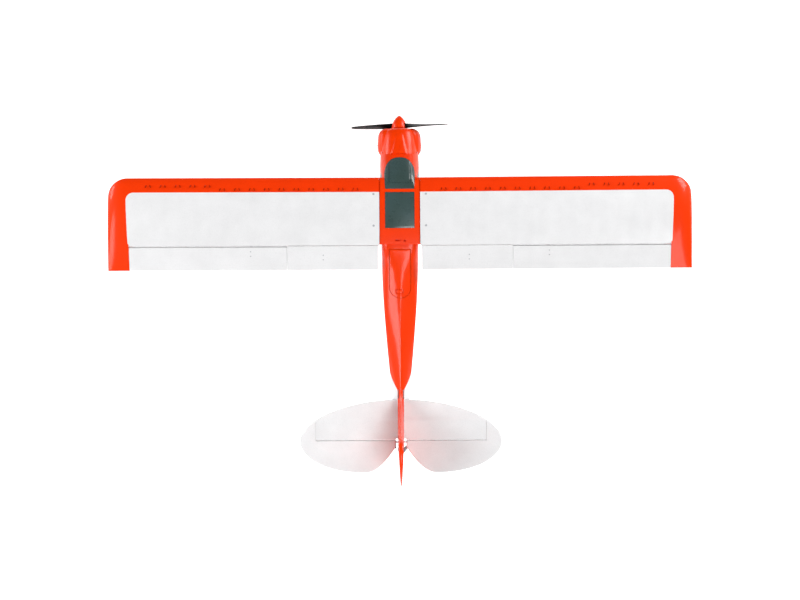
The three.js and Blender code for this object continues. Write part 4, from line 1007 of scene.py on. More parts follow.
def fin(count=26):
    """The fin: a sharp curved front that swells backwards, widest at the foot, with a rounded top."""
    top, back = FIN.top, FIN.hinge - 0.6
    sweep = quadratic((FIN.front, 30), (FIN.front + 70, top - 44), (300, top), 30)
    rings = []
    crown = [(298.5, top - 1.2), (300, top - 0.3), (302, top)]
    for front, z in [(FIN.front - 2, FIN.foot_z), *sweep[:-1], *crown]:
        share = (z - FIN.foot_z) / (top - FIN.foot_z)
        half = (FIN.foot + (FIN.thick - FIN.foot) * share) / 2
        half -= 1.2 * max(0.0, (z - top + 1.5) / 1.5) ** 2
        ys = [front + (back - front) * (1 - math.cos(math.pi / 2 * k / count)) for k in range(count + 1)]
        swell = 3 + 55 * min(1.0, max(0.0, (z - 30) / 14))
        right = [(half * min(1.0, (y - front) / swell) ** 0.62, y, z) for y in ys]
        rings.append(right + [(-x, y, z) for x, y, z in right[:0:-1]])
    return loft(rings)


def windscreen_outline(grow):
    half, length = GLASS.half + grow, GLASS.square - GLASS.front + grow
    power = GLASS.power
    points = [(half * math.copysign(abs(c) ** power, c), GLASS.square - length * max(s, 0) ** power)
              for c, s in arc((0, 0), 1, 40)]
    back_half, back = GLASS.back_half + grow, GLASS.back + grow
    return [*points, (-back_half, back), (back_half, back)]


def hatch_outline(grow):
    half, front = HATCH.half + grow, HATCH.front - grow
    return [(-half, front), (half, front), *arc((0, HATCH.back - HATCH.half), half, 32)]


def side_glass_outline(grow):
    g = SIDE_GLASS
    tail, high = g.back + g.nose + grow, g.high + grow
    corners = [(g.front - grow, g.low - grow), (g.back - grow * 0.5, g.low - grow), (tail, g.low + 18),
               (tail, g.high - 14), (g.back + grow, high), (g.front + g.rake - grow, high)]
    rounded = []
    for before, corner, after in zip(corners[-1:] + corners[:-1], corners, corners[1:] + corners[:1]):
        corner = Vector(corner)
        runs = [Vector(other) - corner for other in (before, after)]
        a, b = (corner + run.normalized() * min(g.corner, run.length * 0.45) for run in runs)
        rounded += quadratic(a, corner, b, 5)
    return rounded


def stadium(x, y, long, wide, grow=0.0):
    """A round-ended slot's outline, lying across the airplane."""
    radius, half = wide / 2 + grow, (long - wide) / 2
    right = arc((x + half, y), radius, 12, -math.pi / 2)
    return right + arc((x - half, y), radius, 12, math.pi / 2)


# each opening in the shell: its outline, the axis and the levels that it is cut between, and the
# move that takes the outer skin to the inside of the sheet that fills it
OPENINGS = {
    "windshield": (windscreen_outline, "z", (30, SKYWARD),
                   shifted(0, GLASS.thick * 0.45, -GLASS.thick * 0.9)),
    "skylight": (lambda grow: rectangle(SKYLIGHT.half, SKYLIGHT.front, SKYLIGHT.back, grow), "z",
                 (30, SKYWARD), shifted(z=-GLASS.thick)),
    "top_hatch": (hatch_outline, "z", (30, SKYWARD), shifted(z=-HATCH.thick)),
    "battery_door": (lambda grow: rectangle(DOOR.half, DOOR.front, DOOR.back, grow), "z", (-70, -20),
                     shifted(z=DOOR.thick)),
    "side_window_left": (side_glass_outline, "x", (30, 60), shifted(-SIDE_GLASS.thick)),
    "side_window_right": (side_glass_outline, "x", (-60, -30), shifted(SIDE_GLASS.thick)),
}


def opening(node, grow=0.0):
    outline, axis, levels, _ = OPENINGS[node]
    return slab(outline(grow), *levels, axis)


def sunk(tool, outside, deep):
    """A tool that cuts only as deep as this below the outside."""
    return carve(tool, copied(outside, shifted(z=-deep)))


def deck_marks(outside):
    """The step beside each wing root and the finger dimples."""
    marks = []
    for sign in SIDES.values():
        across = beside(sign, CENTRE.half - LEDGE.wide, CENTRE.half + 5)
        ledge = block(*across, WING.nose + 4, CENTRE.back - 2, WING.height - 3, SKYWARD)
        marks.append(sunk(ledge, outside, LEDGE.deep))
    marks += [sunk(slab(stadium(*dimple), 60, SKYWARD), outside, DIMPLE_DEEP) for dimple in DIMPLES]
    return marks


def glass_lines(outside):
    """Two moulded grooves along the windscreen and one across its foot."""
    lines, (x, half) = GLASS_LINES, (GLASS_LINES.x, GLASS_LINES.half)
    grooves = [block(at - half, at + half, lines.front, lines.back, 30, SKYWARD) for at in (-x, x)]
    grooves.append(block(-lines.across, lines.across, lines.back + 1, lines.back + 2, 30, SKYWARD))
    return [sunk(groove, outside, lines.deep) for groove in grooves]


def latch_button(outside):
    button = within(copied(outside, shifted(z=LATCH_BUTTON.proud)), slab(stadium(*LATCH), 40, SKYWARD))
    return sunk(button, outside, LATCH_BUTTON.sunk)


def tail_room():
    """The room in the tail for the elevator's joiner, the fin's side slots and the two pushrods."""
    z = TAIL.height
    tools = [block(-30, 30, TAIL.hinge - 0.6, 340, z - 7, z + 7)]
    slot = FIN_SLOT
    for sign in SIDES.values():
        tools.append(block(*beside(sign, slot.inner, slot.outer), slot.front, slot.back, slot.floor, SKYWARD))
    nose = (slot.front, slot.front + slot.wide)
    tools.append(block(-slot.outer, slot.outer, *nose, slot.front_floor, SKYWARD))
    x, rod = ELEVATOR_HORN.x, z - ELEVATOR_HORN.drop
    tools.append(block(x - 3.4, x + 6, 150, 340, rod - 1.5, rod + 3.2))
    x, rod = -RUDDER.horn, RUDDER.rod_z
    tools.append(block(x - 2, x + 4.4, 130, 340, rod - 2, rod + 2.6))
    return tools


def fuselage():
    """The two half shells, the panes, the top hatch with its latch and the battery door."""
    shell = fuse(hull(-329, 329), centre_section())
    sheets = {node: carve(within(copied(shell), opening(node)), copied(shell, inner))
              for node, (*_, inner) in OPENINGS.items()}
    marks = deck_marks(shell)
    button = latch_button(shell)
    moat = slab(stadium(*LATCH, LATCH_BUTTON.moat), 40, SKYWARD)
    carve(sheets["top_hatch"], sunk(moat, shell, LATCH_BUTTON.deep))
    for groove in glass_lines(shell):
        carve(sheets["windshield"], groove)
    carve(shell, *marks)
    fuse(shell, fin())
    gaps = {node: HATCH.gap if node == "top_hatch" else GAP for node in OPENINGS}
    openings = [opening(node, gap) for node, gap in gaps.items()]
    cavity = hull(CAVITY.front, CAVITY.back, WALL, CAVITY.step)
    carve(shell, cavity, *openings, tailplane_pillow(0.3), *tail_room())
    for side, sign in SIDES.items():
        half = within(copied(shell), block(*beside(sign, 0.03, 90), -400, 400, -100, 220))
        paint(half, white_below)
        finish(half, f"fuselage_shell_{side}", "airframe", "orange_foam", f"fuselage_{side}", angle=30,
               material=HULL_FOAM)
    bpy.data.objects.remove(shell)
    finish(sheets.pop("top_hatch"), "hatch_lid", "top_hatch", "orange_foam", "top_hatch", angle=30, rim=0.5)
    finish(button, "hatch_latch", "top_hatch", "orange_plastic", angle=30, rim=0.3)
    finish(sheets.pop("battery_door"), "battery_door_panel", "battery_door", "orange_foam", "battery_door",
           angle=30, rim=0.5)
    for node, pane in sheets.items():
        finish(pane, f"{node}_pane", "airframe", "tinted_plastic", node, angle=25, rim=0.12)


# ---------------------------------------------------------------- cowl

COWL_BODY = through([(-389, 27, -33, -4, 23), (-384, 34, -41, -4, 29), (-370, 38.5, -46, -5, 34),
                     (-329.6, 43.4, -51, -5, 41)])
COWL_CHEEK = through([(-389, 12, 17, 25), (-384, 17, 22.5, 27), (-373, 20.5, 25, 28), (-350, 21, 24.5, 28.8),
                      (-338, 19.5, 22, 28.7), (-329.6, 15, 18, 28)])
COWL_CREST = through([(-389, 8, 22), (-384, 12, 28.6), (-368, 15.5, 35.8), (-350, 20, 39.8),
                      (-329.6, 26, 43.2)])


def cowl_form(inset, front, back):
    """The nose bowl: a tapering body with a swollen cheek on each side and a crest along the top."""
    body, crest, cheeks = [], [], {1: [], -1: []}
    for y in spaced(front, (-384, 0.8), (back, 2.5)):
        half, low, centre, high = COWL_BODY(y)
        body.append(oval(y, centre, half - inset, low + inset, high - inset, 2.8, 2.4))
        half, top = COWL_CREST(y)
        crest.append(oval(y, 8, half - inset, 0, top - inset, 2, 3.2, 48))
        across, up, x = COWL_CHEEK(y)
        bottom, top = COWL.cheek_z - up + inset, COWL.cheek_z + up - inset
        for sign, rings in cheeks.items():
            rings.append(oval(y, COWL.cheek_z, across - inset, bottom, top, 2.2, 2.2, 72, sign * x))
    return fuse(loft(body), *(loft(rings) for rings in cheeks.values()), loft(crest))


def cowl():
    shell = cowl_form(0, COWL.front, COWL.back)
    inside = cowl_form(COWL.wall, COWL.front + COWL.wall, COWL.back + 1)
    front, back, z = INLETS.front, INLETS.back, COWL.cheek_z
    inlets = [bar((x, front, z), (x, back, z), INLETS.across, INLETS.along, 40, (1, 0, 0))
              for x in (INLETS.x, -INLETS.x)]
    carve(shell, inside, peg("y", front, back, (0, 0), INLETS.middle, 48), *inlets)
    finish(shell, "cowl_shell", "airframe", "orange_plastic", "cowl", angle=38, rim=0.5)


def cowl_screws():
    """Two on each flank, where the body's section is a superellipse of about this power."""
    power, y = 2.6, COWL.screw_y
    half, low, centre, high = COWL_BODY(y)
    screws = []
    for sign in (1, -1):
        for z in (-28, 18):
            reach = abs(z - centre) / ((high - centre) if z > centre else (centre - low))
            x = half * (1 - reach ** power) ** (1 / power)
            screws.append(peg("x", sign * (x - 0.6), sign * (x + 0.7), (y, z), 2.0, rim=0.5))
    extra(screws, "cowl_screws", SCREW)


def louvres():
    """Three black strips low on each cheek's back: painted shade that stands for cooling slots."""
    strips = []
    for sign in (1, -1):
        for y in LOUVRES.ys:
            across, _, middle = COWL_CHEEK(y)
            x = sign * (middle + across - LOUVRES.sunk)
            ends = ((x, y, LOUVRES.low), (x, y, LOUVRES.high))
            strips.append(bar(*ends, LOUVRES.across, LOUVRES.along, 16, rim=0.6))
    # painted shade: black plastic bars where open slots would show only shadow
    extra(strips, "cowl_slot_shade_strips", M["black_plastic"])


# ---------------------------------------------------------------- motor, propeller and spinner


def motor_mount():
    """The firewall with the motor's standoff and its screws."""
    wall = block(-FIREWALL.half, FIREWALL.half, FIREWALL.front, FIREWALL.back, FIREWALL.low, FIREWALL.high)
    board = fuse(wall, turned(STANDOFF, 48, "y"))
    finish(board, "firewall_board", "airframe", "plywood", "motor_mount", rim=0.3)
    heads = [peg("y", -354.2, -351.8, spot, 1.5, 20, 0.4) for spot in around((0, 0), 8.6, 4, math.pi / 4)]
    extra(heads, "motor_mount_screws", SCREW)


def motor():
    """An outrunner: a wound stator in a vented bell."""
    core = turned(STATOR, 48, "y", closed=True)
    finish(core, "stator_core", "airframe", "motor_metal", "motor_stator", rim=0.2)
    starts, ends = (around((0, 0), radius, COILS.count) for radius in (COILS.inner, COILS.outer))
    coils = [bar((x0, COILS.y, z0), (x1, COILS.y, z1), COILS.across, COILS.along, 20, rim=0.5)
             for (x0, z0), (x1, z1) in zip(starts, ends)]
    extra(coils, "stator_windings", COPPER)
    radius, inner = MOTOR.radius, MOTOR.radius - MOTOR.wall
    front, back = MOTOR.front, MOTOR.back
    profile = [(2.6, front), (radius - 2, front), (radius, front + 2), (radius, back), (inner, back),
               (inner, front + 1.8), (2.6, front + 1.8)]
    bell = turned(profile, 64, "y", closed=True)
    carve(bell, *(peg("y", front - 2, front + 4, spot, 2.1) for spot in around((0, 0), 8.2, MOTOR.vents)))
    finish(bell, "motor_bell_can", "propeller", "motor_metal", "motor_bell", matrix=SPIN, rim=0.25)
    rod = peg("y", -410, -356, (0, 0), MOTOR.shaft, 32, 0.4)
    extra([rod], "motor_shaft", SCREW, "propeller", matrix=SPIN)


def blade_ring(r, turn):
    """One blade section: a thin cambered lens set at the pitch of its radius."""
    share = r / PROP.radius
    chord = 11 + 38 * share * max(1.08 - share, 0.02) ** 0.75
    tip = max(0.0, (share - 0.93) / 0.07)
    chord *= math.sqrt(max(0.02, 1 - tip ** 2))
    thick = (2.4 * (1 - share) + 2.7) * (1 - 0.35 * tip)
    pitch = math.atan(PROP.pitch / (2 * math.pi * max(r, 16)))
    c, s = math.cos(pitch), math.sin(pitch)
    ring = []
    for across, over in around((0, 0), 1, 36):
        along = chord / 2 * across
        up = thick / 2 * (over * (1.15 if over < 0 else 0.85) - 0.18 * across ** 2)
        ring.append((turn * r, PROP.y - along * s + up * c, turn * (along * c + up * s)))
    return ring


def propeller():
    radii = spaced(4, (14, 2), (100, 3), (PROP.radius, 0.9))
    blades = [loft([blade_ring(r, turn) for r in radii]) for turn in (1, -1)]
    front, back, hub = PROP.front, PROP.back, PROP.hub
    made = turned([(0, front), (hub - 1, front), (hub, front + 1), (hub, back), (0, back)], 48, "y")
    fuse(made, *blades)
    carve(made, peg("y", -410, -380, (0, 0), MOTOR.shaft + 0.1, 32))
    finish(made, "propeller_blades", "propeller", "propeller_nylon", "propeller", matrix=SPIN, angle=28)
    nut = peg("y", front - 3.6, front - 0.1, (0, 0), 4.6, 6)
    carve(nut, peg("y", -410, -390, (0, 0), MOTOR.shaft + 0.05, 32))
    extra([nut], "propeller_nut", SCREW, "propeller", matrix=SPIN, rim=0.4)


def spinner_profile(radius, tip, count=40):
    shares = [math.sin(math.pi / 2 * i / count) for i in range(count + 1)]
    back = SPINNER.back
    return [(radius * (1 - share ** 2) ** 0.75, back + (tip - back) * share) for share in shares]


def spinner():
    """A thin pointed shell with a backplate, a groove round it and a slot for each blade."""
    back, radius = SPINNER.back, SPINNER.radius
    shell = turned([(0, back), *spinner_profile(radius, SPINNER.tip)], 96, "y")
    hollow = spinner_profile(radius - SPINNER.wall, SPINNER.tip + 6)[1:]
    inside = turned([(0, back + 1.3), (radius - 3, back + 1.3), *hollow], 64, "y")
    slots = [block(*beside(sign, 5, 40), PROP.y - 6.2, back + 0.4, -SPINNER.slot, SPINNER.slot)
             for sign in (1, -1)]
    near, far, deep = back - 0.9, back - 1.5, radius - 0.5
    groove = turned([(deep, near), (30, near), (30, far), (deep, far)], 96, "y", closed=True)
    carve(shell, inside, *slots, groove)
    finish(shell, "spinner_cone", "propeller", "orange_plastic", "spinner", matrix=SPIN, angle=38, rim=0.2)


# ---------------------------------------------------------------- radio and power inside


def power():
    """The battery with its strap, and the speed controller."""
    finish(block(*BATTERY), "battery_pack", "airframe", "battery_wrap", "battery", rim=2.6)
    belt = carve(block(*STRAP), block(-17.1, 17.1, -250, -230, -49.5, -25.7))
    extra([belt], "battery_strap", M["black_plastic"], rim=0.5)
    finish(block(*CONTROLLER), "speed_controller_sleeve", "airframe", "black_heatshrink", "speed_controller",
           rim=1.8)


def tail_servo(name, x):
    """An upright micro servo with its seams, its ears on the tray, and its boss and arm."""
    wide = SERVO.width / 2
    front, back, low, high = TAIL_SERVO.front, TAIL_SERVO.back, TAIL_SERVO.low, TAIL_SERVO.high
    case = block(x - wide, x + wide, front, back, low, high)
    reach, deep = SERVO.ear_reach, SERVO.seam_deep
    fuse(case, block(x - wide, x + wide, front - reach, back + reach, *TAIL_SERVO.ears))
    for level in (low + 4, high - 8.5):
        ring = block(x - wide - 1, x + wide + 1, front - 1, back + 1, level, level + SERVO.seam)
        core = block(x - wide + deep, x + wide - deep, front + deep, back - deep, level - 1, level + 1)
        carve(case, carve(ring, core))
    y, z = back - SERVO.shaft, high + 2.4
    arm = fuse(peg("z", high, high + 3.2, (x, y), 3.4, 32, 0.3),
               bar((x, y, z), (x - math.copysign(TAIL_SERVO.arm, x), y, z), 0.8, 2.2))
    finish(case, f"{name}_servo_case", "airframe", "servo_case", rim=0.35)
    finish(arm, f"{name}_servo_arm", "airframe", "white_nylon", rim=0.2)


def radio():
    """The receiver with its ports, and the tray that holds it and the tail servos."""
    tray = block(*TRAY)
    carve(tray, *(peg("z", -3, 8, spot, radius, 40) for spot, radius in TRAY_HOLES))
    finish(tray, "servo_tray_board", "airframe", "plywood", "servo_tray", rim=0.25)
    tail_servo("elevator", TAIL_SERVO.x)
    tail_servo("rudder", -TAIL_SERVO.x)
    ports = [block(x - PORTS.half, x + PORTS.half, *PORTS.deep, *PORTS.tall) for x in PORTS.xs]
    finish(carve(block(*RECEIVER), *ports), "receiver_case", "airframe", "black_plastic", "receiver", rim=0.6)


def spar_tube():
    spot = (SPAR.y, SPAR.z)
    tube = peg("x", -SPAR.half, SPAR.half, spot, SPAR.radius, 40)
    carve(tube, peg("x", -200, 200, spot, SPAR.radius - SPAR.wall, 40))
    finish(tube, "spar_tube", "airframe", "carbon_tube", "wing_spar_tube", rim=0.15)


# ---------------------------------------------------------------- tail


def tail_outline():
    """The tailplane and elevator together, in plan."""
    half, front, widest, power = TAIL.half, TAIL.front, TAIL.widest, 2 / TAIL.power
    quarter = arc((0, 0), 1, 32, 0, math.pi / 2)
    right = [(half * s ** power, widest - (widest - front) * c ** power) for c, s in quarter]
    run, rear = half - TAIL.back_middle, TAIL.back - widest
    right += [(TAIL.back_middle + run * c, widest + rear * s) for c, s in quarter[1:]]
    corner = (TAIL.cut, TAIL.hinge + TAIL.cut_back)
    right += quadratic((78, TAIL.back), (48, TAIL.back - 2), corner, 14)
    right.append((TAIL.cut, TAIL.hinge - 3))
    return right + [(-x, y) for x, y in reversed(right) if x > 1e-6]


def tailplane_pillow(grow=0.0):
    outline = offset(tail_outline(), -grow) if grow else tail_outline()
    return pillow(outline, TAIL.height, TAIL.thick + 2 * grow, 3.0 if grow else TAIL.rim, 6)


def elevator_region():
    """Everything that belongs to the elevator: behind a bevelled hinge, and the balances at the tips."""
    z, hinge, limit, up, far = TAIL.height, TAIL.hinge, TAIL.balance, 7, 430
    run = up * math.tan(math.radians(TAIL.turn + SPARE_TURN))
    bevel = [(hinge, z), (hinge + run, z + up), (far, z + up), (far, z - up), (hinge + run, z - up)]
    tips = [block(*beside(sign, limit, 245), 200, far, z - 8, z + 8) for sign in (1, -1)]
    return fuse(slab(bevel, -limit - 0.5, limit + 0.5, "x"), *tips)


def tail_surfaces():
    z, hinge, limit = TAIL.height, TAIL.hinge, TAIL.balance
    whole = tailplane_pillow()
    fixed = within(copied(whole), block(-limit + 0.35, limit - 0.35, 200, hinge - 0.6, z - 9, z + 9))
    finish(fixed, "stabilizer_foam", "airframe", "white_foam", "stabilizer", angle=40, rim=0.4)
    moving = within(whole, elevator_region())
    finish(moving, "elevator_foam", "elevator", "white_foam", "elevator", angle=40, rim=0.4)
    finish(peg("x", -17, 17, (hinge + 4.8, z), TAIL.joiner), "elevator_joiner", "elevator", "white_foam")


def horn_outline(foot, reach):
    """A tail horn's side view as [behind the hinge, away from the surface]."""
    return [(20, foot), (7, foot), (-2.6, reach - 1.5), (-2.7, reach + 0.6), (-1.6, reach + 2.2),
            (0, reach + 2.8), (1.6, reach + 2.6), (4.5, reach - 0.5)]


def elevator_linkage():
    z, hinge, x, drop = TAIL.height, TAIL.hinge, ELEVATOR_HORN.x, ELEVATOR_HORN.drop
    foot = TAIL.thick / 2 + 0.3
    plate = horn_plate(x, [(hinge + a, z - b) for a, b in horn_outline(foot, drop)])
    fuse(plate, block(x - 2.5, x + 6.5, hinge + 7, hinge + 20, z - foot - 1.6, z - foot))
    carve(plate, round_hole(x, (hinge, z - drop)))
    finish(plate, "elevator_control_horn", "elevator", "black_plastic", "elevator_horn", rim=0.25)
    path = [(x, ROD_FRONT, z - drop), (x, hinge, z - drop), (x + 4, hinge, z - drop)]
    rod_wire(path, "elevator_push_rod", "elevator_rod")


def rudder():
    """The rudder: thinner towards the back, rounded all round and bevelled along its hinge."""
    hinge, shelf, count = FIN.hinge, RUDDER.shelf, 34
    sweep = [Vector(p) for p in smooth_line(RUDDER_SWEEP, 16)]
    edges = [*zip(sweep, sweep[1:]), (sweep[-1], Vector((hinge, 0))), (Vector((hinge, shelf)), sweep[0])]
    starts = np.array([a for a, _ in edges])
    runs = np.array([b - a for a, b in edges])
    lengths = np.maximum((runs ** 2).sum(1), 1e-9)

    def edge_distance(y, z):
        from_start = np.array((y, z)) - starts
        along = np.clip((from_start * runs).sum(1) / lengths, 0, 1)
        return float(np.sqrt(((from_start - runs * along[:, None]) ** 2).sum(1).min()))

    def half_width(y, z):
        back = min(max((y - hinge) / (RUDDER.back - hinge), 0), 1)
        full = RUDDER.thick / 2 + (RUDDER.edge - RUDDER.thick) / 2 * back
        near = min(1.0, edge_distance(y, z) / min(RUDDER.rim, full * 1.6))
        width = full * math.sqrt(max(0.0, 1 - (1 - near) ** 2))
        if z < shelf:
            width = min(width, (y - hinge) / math.tan(math.radians(RUDDER.turn + SPARE_TURN)))
        return max(width, 0.0)

    def ring(z):
        crossings = [a.x + (b.x - a.x) * (z - a.y) / (b.y - a.y) for a, b in zip(sweep, sweep[1:])
                     if (a.y - z) * (b.y - z) <= 0 and a.y != b.y]
        front = hinge if z < shelf else min(crossings)
        length = max(crossings) - front
        ys = [front + length * (1 - math.cos(math.pi * k / count)) / 2 for k in range(count + 1)]
        right = [(half_width(y, z), y, z) for y in ys]
        return right + [(-x, y, z) for x, y, z in right[-2:0:-1]]

    top = max(p.y for p in sweep)
    levels = spaced(0.05, (4, 0.5), (shelf - 3, 3.4), (shelf - 0.02, 0.6))
    levels += spaced(shelf + 0.02, (shelf + 4, 0.6), (top - 4, 2), (top - 0.05, 0.4))
    obj = cleaned(loft([ring(z) for z in levels]), dissolve=True)
    finish(obj, "rudder_foam", "rudder", "orange_foam", "rudder", angle=42)


def rudder_linkage():
    """The rudder's horn lies flat, with its pushrod under it."""
    hinge, x, z = FIN.hinge, -RUDDER.horn, RUDDER.rod_z
    low = z + LINKAGE.plate_at
    outline = [(-b, hinge + a) for a, b in horn_outline(RUDDER.thick / 2 - 0.5, RUDDER.horn)]
    plate = slab(outline, low, low + LINKAGE.plate)
    carve(plate, peg("z", low - 4, low + 6, (x, hinge), LINKAGE.hole, 20))
    finish(plate, "rudder_control_horn", "rudder", "black_plastic", "rudder_horn", rim=0.25, material=GREY)
    path = [(x, ROD_FRONT, z), (x, hinge, z), (x, hinge, z + 3.8)]
    rod_wire(path, "rudder_push_rod", "rudder_rod")


def tail_wheel_bracket():
    """The bracket under the tail and the bent wire that the rudder steers."""
    hinge, y, z, wire = FIN.hinge, TAIL_WHEEL.y, TAIL_WHEEL.z, TAIL_WHEEL.wire
    base = fuse(block(-4, 4, 284, hinge + 3.5, -6.2, -3.4), peg("z", -9, -3.4, (0, hinge), 3.6, 32))
    carve(base, peg("z", -20, 4, (0, hinge), wire + 0.3))
    finish(base, "tail_wheel_bracket_plate", "airframe", "black_plastic", "tail_wheel_bracket", rim=0.4)
    heads = [peg("z", -7.2, -5.8, (0, at), 1.7, 20, 0.4) for at in (289, 305)]
    extra(heads, "tail_bracket_screws", SCREW)
    path = [(0, 350, -1.4), (0, hinge, -1.4), (0, hinge, -32), (6.5, y - 8, z + 10), (6.5, y, z), (-6, y, z)]
    finish(bent(path, wire, 3.2), "tail_wheel_leg", "rudder", "wire", "tail_wheel_wire", angle=50,
           material=SPRING)


def tail_wheel():
    place = (0, TAIL_WHEEL.y, TAIL_WHEEL.z)
    half, bore, shoulder = TAIL_WHEEL.width / 2, TAIL_WHEEL.bore, TAIL_WHEEL.shoulder
    radius = TAIL_WHEEL.radius * math.cos(math.pi / 16)
    profile = [(bore, -half + 0.7), (bore, half - 0.7), (7.6, half - 0.3), (shoulder, half)]
    for c, s in arc((0, 0), 1, 6, 0, math.pi / 2)[1:-1]:
        profile.append((shoulder + (radius - shoulder) * s, half * c ** 0.6))
    profile.append((radius, 0.6))
    mirrored = [(r, -x) for r, x in reversed(profile[1:])]
    tyre = turned(profile + mirrored, 56, closed=True, place=place)
    finish(tyre, "tail_tyre", "tail_wheel", "tundra_rubber", "tail_wheel", angle=40)
    right = [(TAIL_WHEEL.wire + 0.15, -half - 0.4), (2.6, -half - 0.4), (2.8, -2.4), (4.7, -2.4)]
    hub = turned(right + [(r, -x) for r, x in reversed(right)], 40, closed=True, place=place)
    finish(hub, "tail_wheel_hub", "tail_wheel", "black_plastic", rim=0.2)


# ---------------------------------------------------------------- undercarriage and struts


def tyre_profile():
    """A balloon tyre's closed section in [radius, x]: flat tread with grooves, bulged walls."""
    radius = WHEEL.radius * math.cos(math.pi / WHEEL.sides)
    middle, deep = (radius + WHEEL.rim) / 2, (radius - WHEEL.rim) / 2
    flat, power = WHEEL.width / 6, 0.7
    points = []
    for c, s in arc((0, 0), 1, 56):
        r = middle + deep * (max(s, 0) ** power * 2 - 1)
        x = -WHEEL.width / 2 * math.copysign(abs(c) ** power, c)
        if abs(x) > flat or r < middle:
            points.append((r, x))
    half = len(points) // 2
    tread = []
    for x in (-4.6, 0.0, 4.6):
        tread += [(radius, x - 0.9), (radius - 0.9, x - 0.5), (radius - 0.9, x + 0.5), (radius, x + 0.9)]
    return [*points[:half], (radius, -flat), *tread, (radius, flat), *points[half:]]


def wheel(side):
    """A soft tyre on a dished hub with lightening holes, and its collar."""
    sign, body = SIDES[side], f"wheel_{side}"
    x, y, z = place = (sign * WHEEL.x, WHEEL.y, WHEEL.z)
    tyre = turned(tyre_profile(), 96, closed=True, place=place)
    finish(tyre, f"balloon_tyre_{side}", body, "tundra_rubber", f"tyre_{side}", angle=35)
    rim, bore = WHEEL.rim - 0.2, WHEEL.axle + 0.2
    inner = [(bore, -17), (6, -17), (7, -8), (rim - 3, -8), (rim - 1.2, -12.4), (rim, -13)]
    outer = [(rim, 13), (rim - 1.2, 12.4), (rim - 3, 8), (7, 8), (6, 15), (bore, 15)]
    disc = turned([(r, sign * along) for r, along in inner + outer], 72, closed=True, place=place)
    holes = around((y, z), 13, WHEEL.holes, math.pi / 2)
    carve(disc, *(peg("x", x - 30, x + 30, spot, 3.6, 32) for spot in holes))
    finish(disc, f"wheel_hub_{side}", body, "black_plastic", f"hub_{side}", angle=38, rim=0.3)
    bore = WHEEL.axle + 0.02
    collar = turned([(bore, 15.6), (4.2, 15.6), (4.2, 19.2), (bore, 19.2)], 36, closed=True)
    extra([moved(on_side(collar, side), shifted(*place))], f"wheel_collar_{side}", SCREW, rim=0.3)


def gear_leg(side):
    """Two steel tubes that meet at the axle, with a thin cover between them."""
    front, back = BELLY_PLATE.front + LEG.inset, BELLY_PLATE.back - LEG.inset
    under = BELLY_PLATE.top - BELLY_PLATE.thick - 0.3
    foot = Vector((WHEEL.x - LEG.short, WHEEL.y, WHEEL.z))
    tubes = [bar((LEG.x, y, under), foot, LEG.across, LEG.along, 28) for y in (front, back)]
    top = [(27, front, under - 1), (27, back, under - 1), (29, back, under - 1), (29, front, under - 1)]
    tip = [foot + Vector(spot) for spot in ((-1, -3, 1), (-1, 3, 1), (1, 3, 1), (1, -3, 1))]
    boss = peg("x", foot.x - 2.5, foot.x + 3, foot.yz, 4, 32, 0.6)
    leg = fuse(loft([top, tip]), *tubes, boss)
    within(leg, block(0, 200, -400, 400, -300, under))
    finish(on_side(leg, side), f"gear_leg_{side}_tubes", "airframe", "gear_enamel", f"gear_leg_{side}",
           angle=35, rim=0.25)
    sign = SIDES[side]
    axle = peg("x", foot.x * sign, (WHEEL.x + 20) * sign, foot.yz, WHEEL.axle, 28, 0.3)
    finish(axle, f"axle_{side}", "airframe", "wire")


def gear_mount():
    """The belly plate with its screws, the cabane under it, and the two shock struts."""
    front, back, half, top = BELLY_PLATE.front, BELLY_PLATE.back, BELLY_PLATE.half, BELLY_PLATE.top
    under = top - BELLY_PLATE.thick
    apex = Vector((0, WHEEL.y, top - SHOCK.apex))
    legs = [bar((0, y, top - 2), apex, 1.6, 2.2, 24) for y in (front + 14, back - 14)]
    knot = bar(apex + Vector((0, -5, 0)), apex + Vector((0, 5, 0)), 4.4, sides=32, rim=0.8)
    plate = fuse(block(-half, half, front, back, under, top), *legs, knot)
    finish(plate, "gear_mount_plate", "airframe", "black_plastic", "gear_mount", rim=0.4)
    for side, sign in SIDES.items():
        foot = Vector((sign * (WHEEL.x - SHOCK.short), WHEEL.y, WHEEL.z + SHOCK.above))

        def run(start, end, radius, **ways):
            return bar(apex.lerp(foot, start), apex.lerp(foot, end), radius, **ways)

        rings = [run(0.56 + 0.055 * k, 0.595 + 0.055 * k, 3.1, sides=32, rim=0.8) for k in range(SHOCK.rings)]
        body = together(run(0.04, 0.52, 3, sides=32, rim=0.7), *rings)
        finish(body, f"shock_strut_{side}", "airframe", "black_plastic")
        finish(run(0.5, 1, 1.5, rim=0.3), f"shock_rod_{side}", "airframe", "wire")
    heads = [peg("z", under - 0.9, under + 0.4, (x, y), 2.2, rim=0.5)
             for x in (-half + 6, half - 6) for y in (front + 24, back - 24)]
    extra(heads, "gear_mount_screws", SCREW)


def lowest(x, y):
    """The height just under a wing, in the level frame."""
    rise = (x - WING.root) * math.sin(math.radians(WING.dihedral))
    return WING.height + rise + skin(y, -1) - 1.2


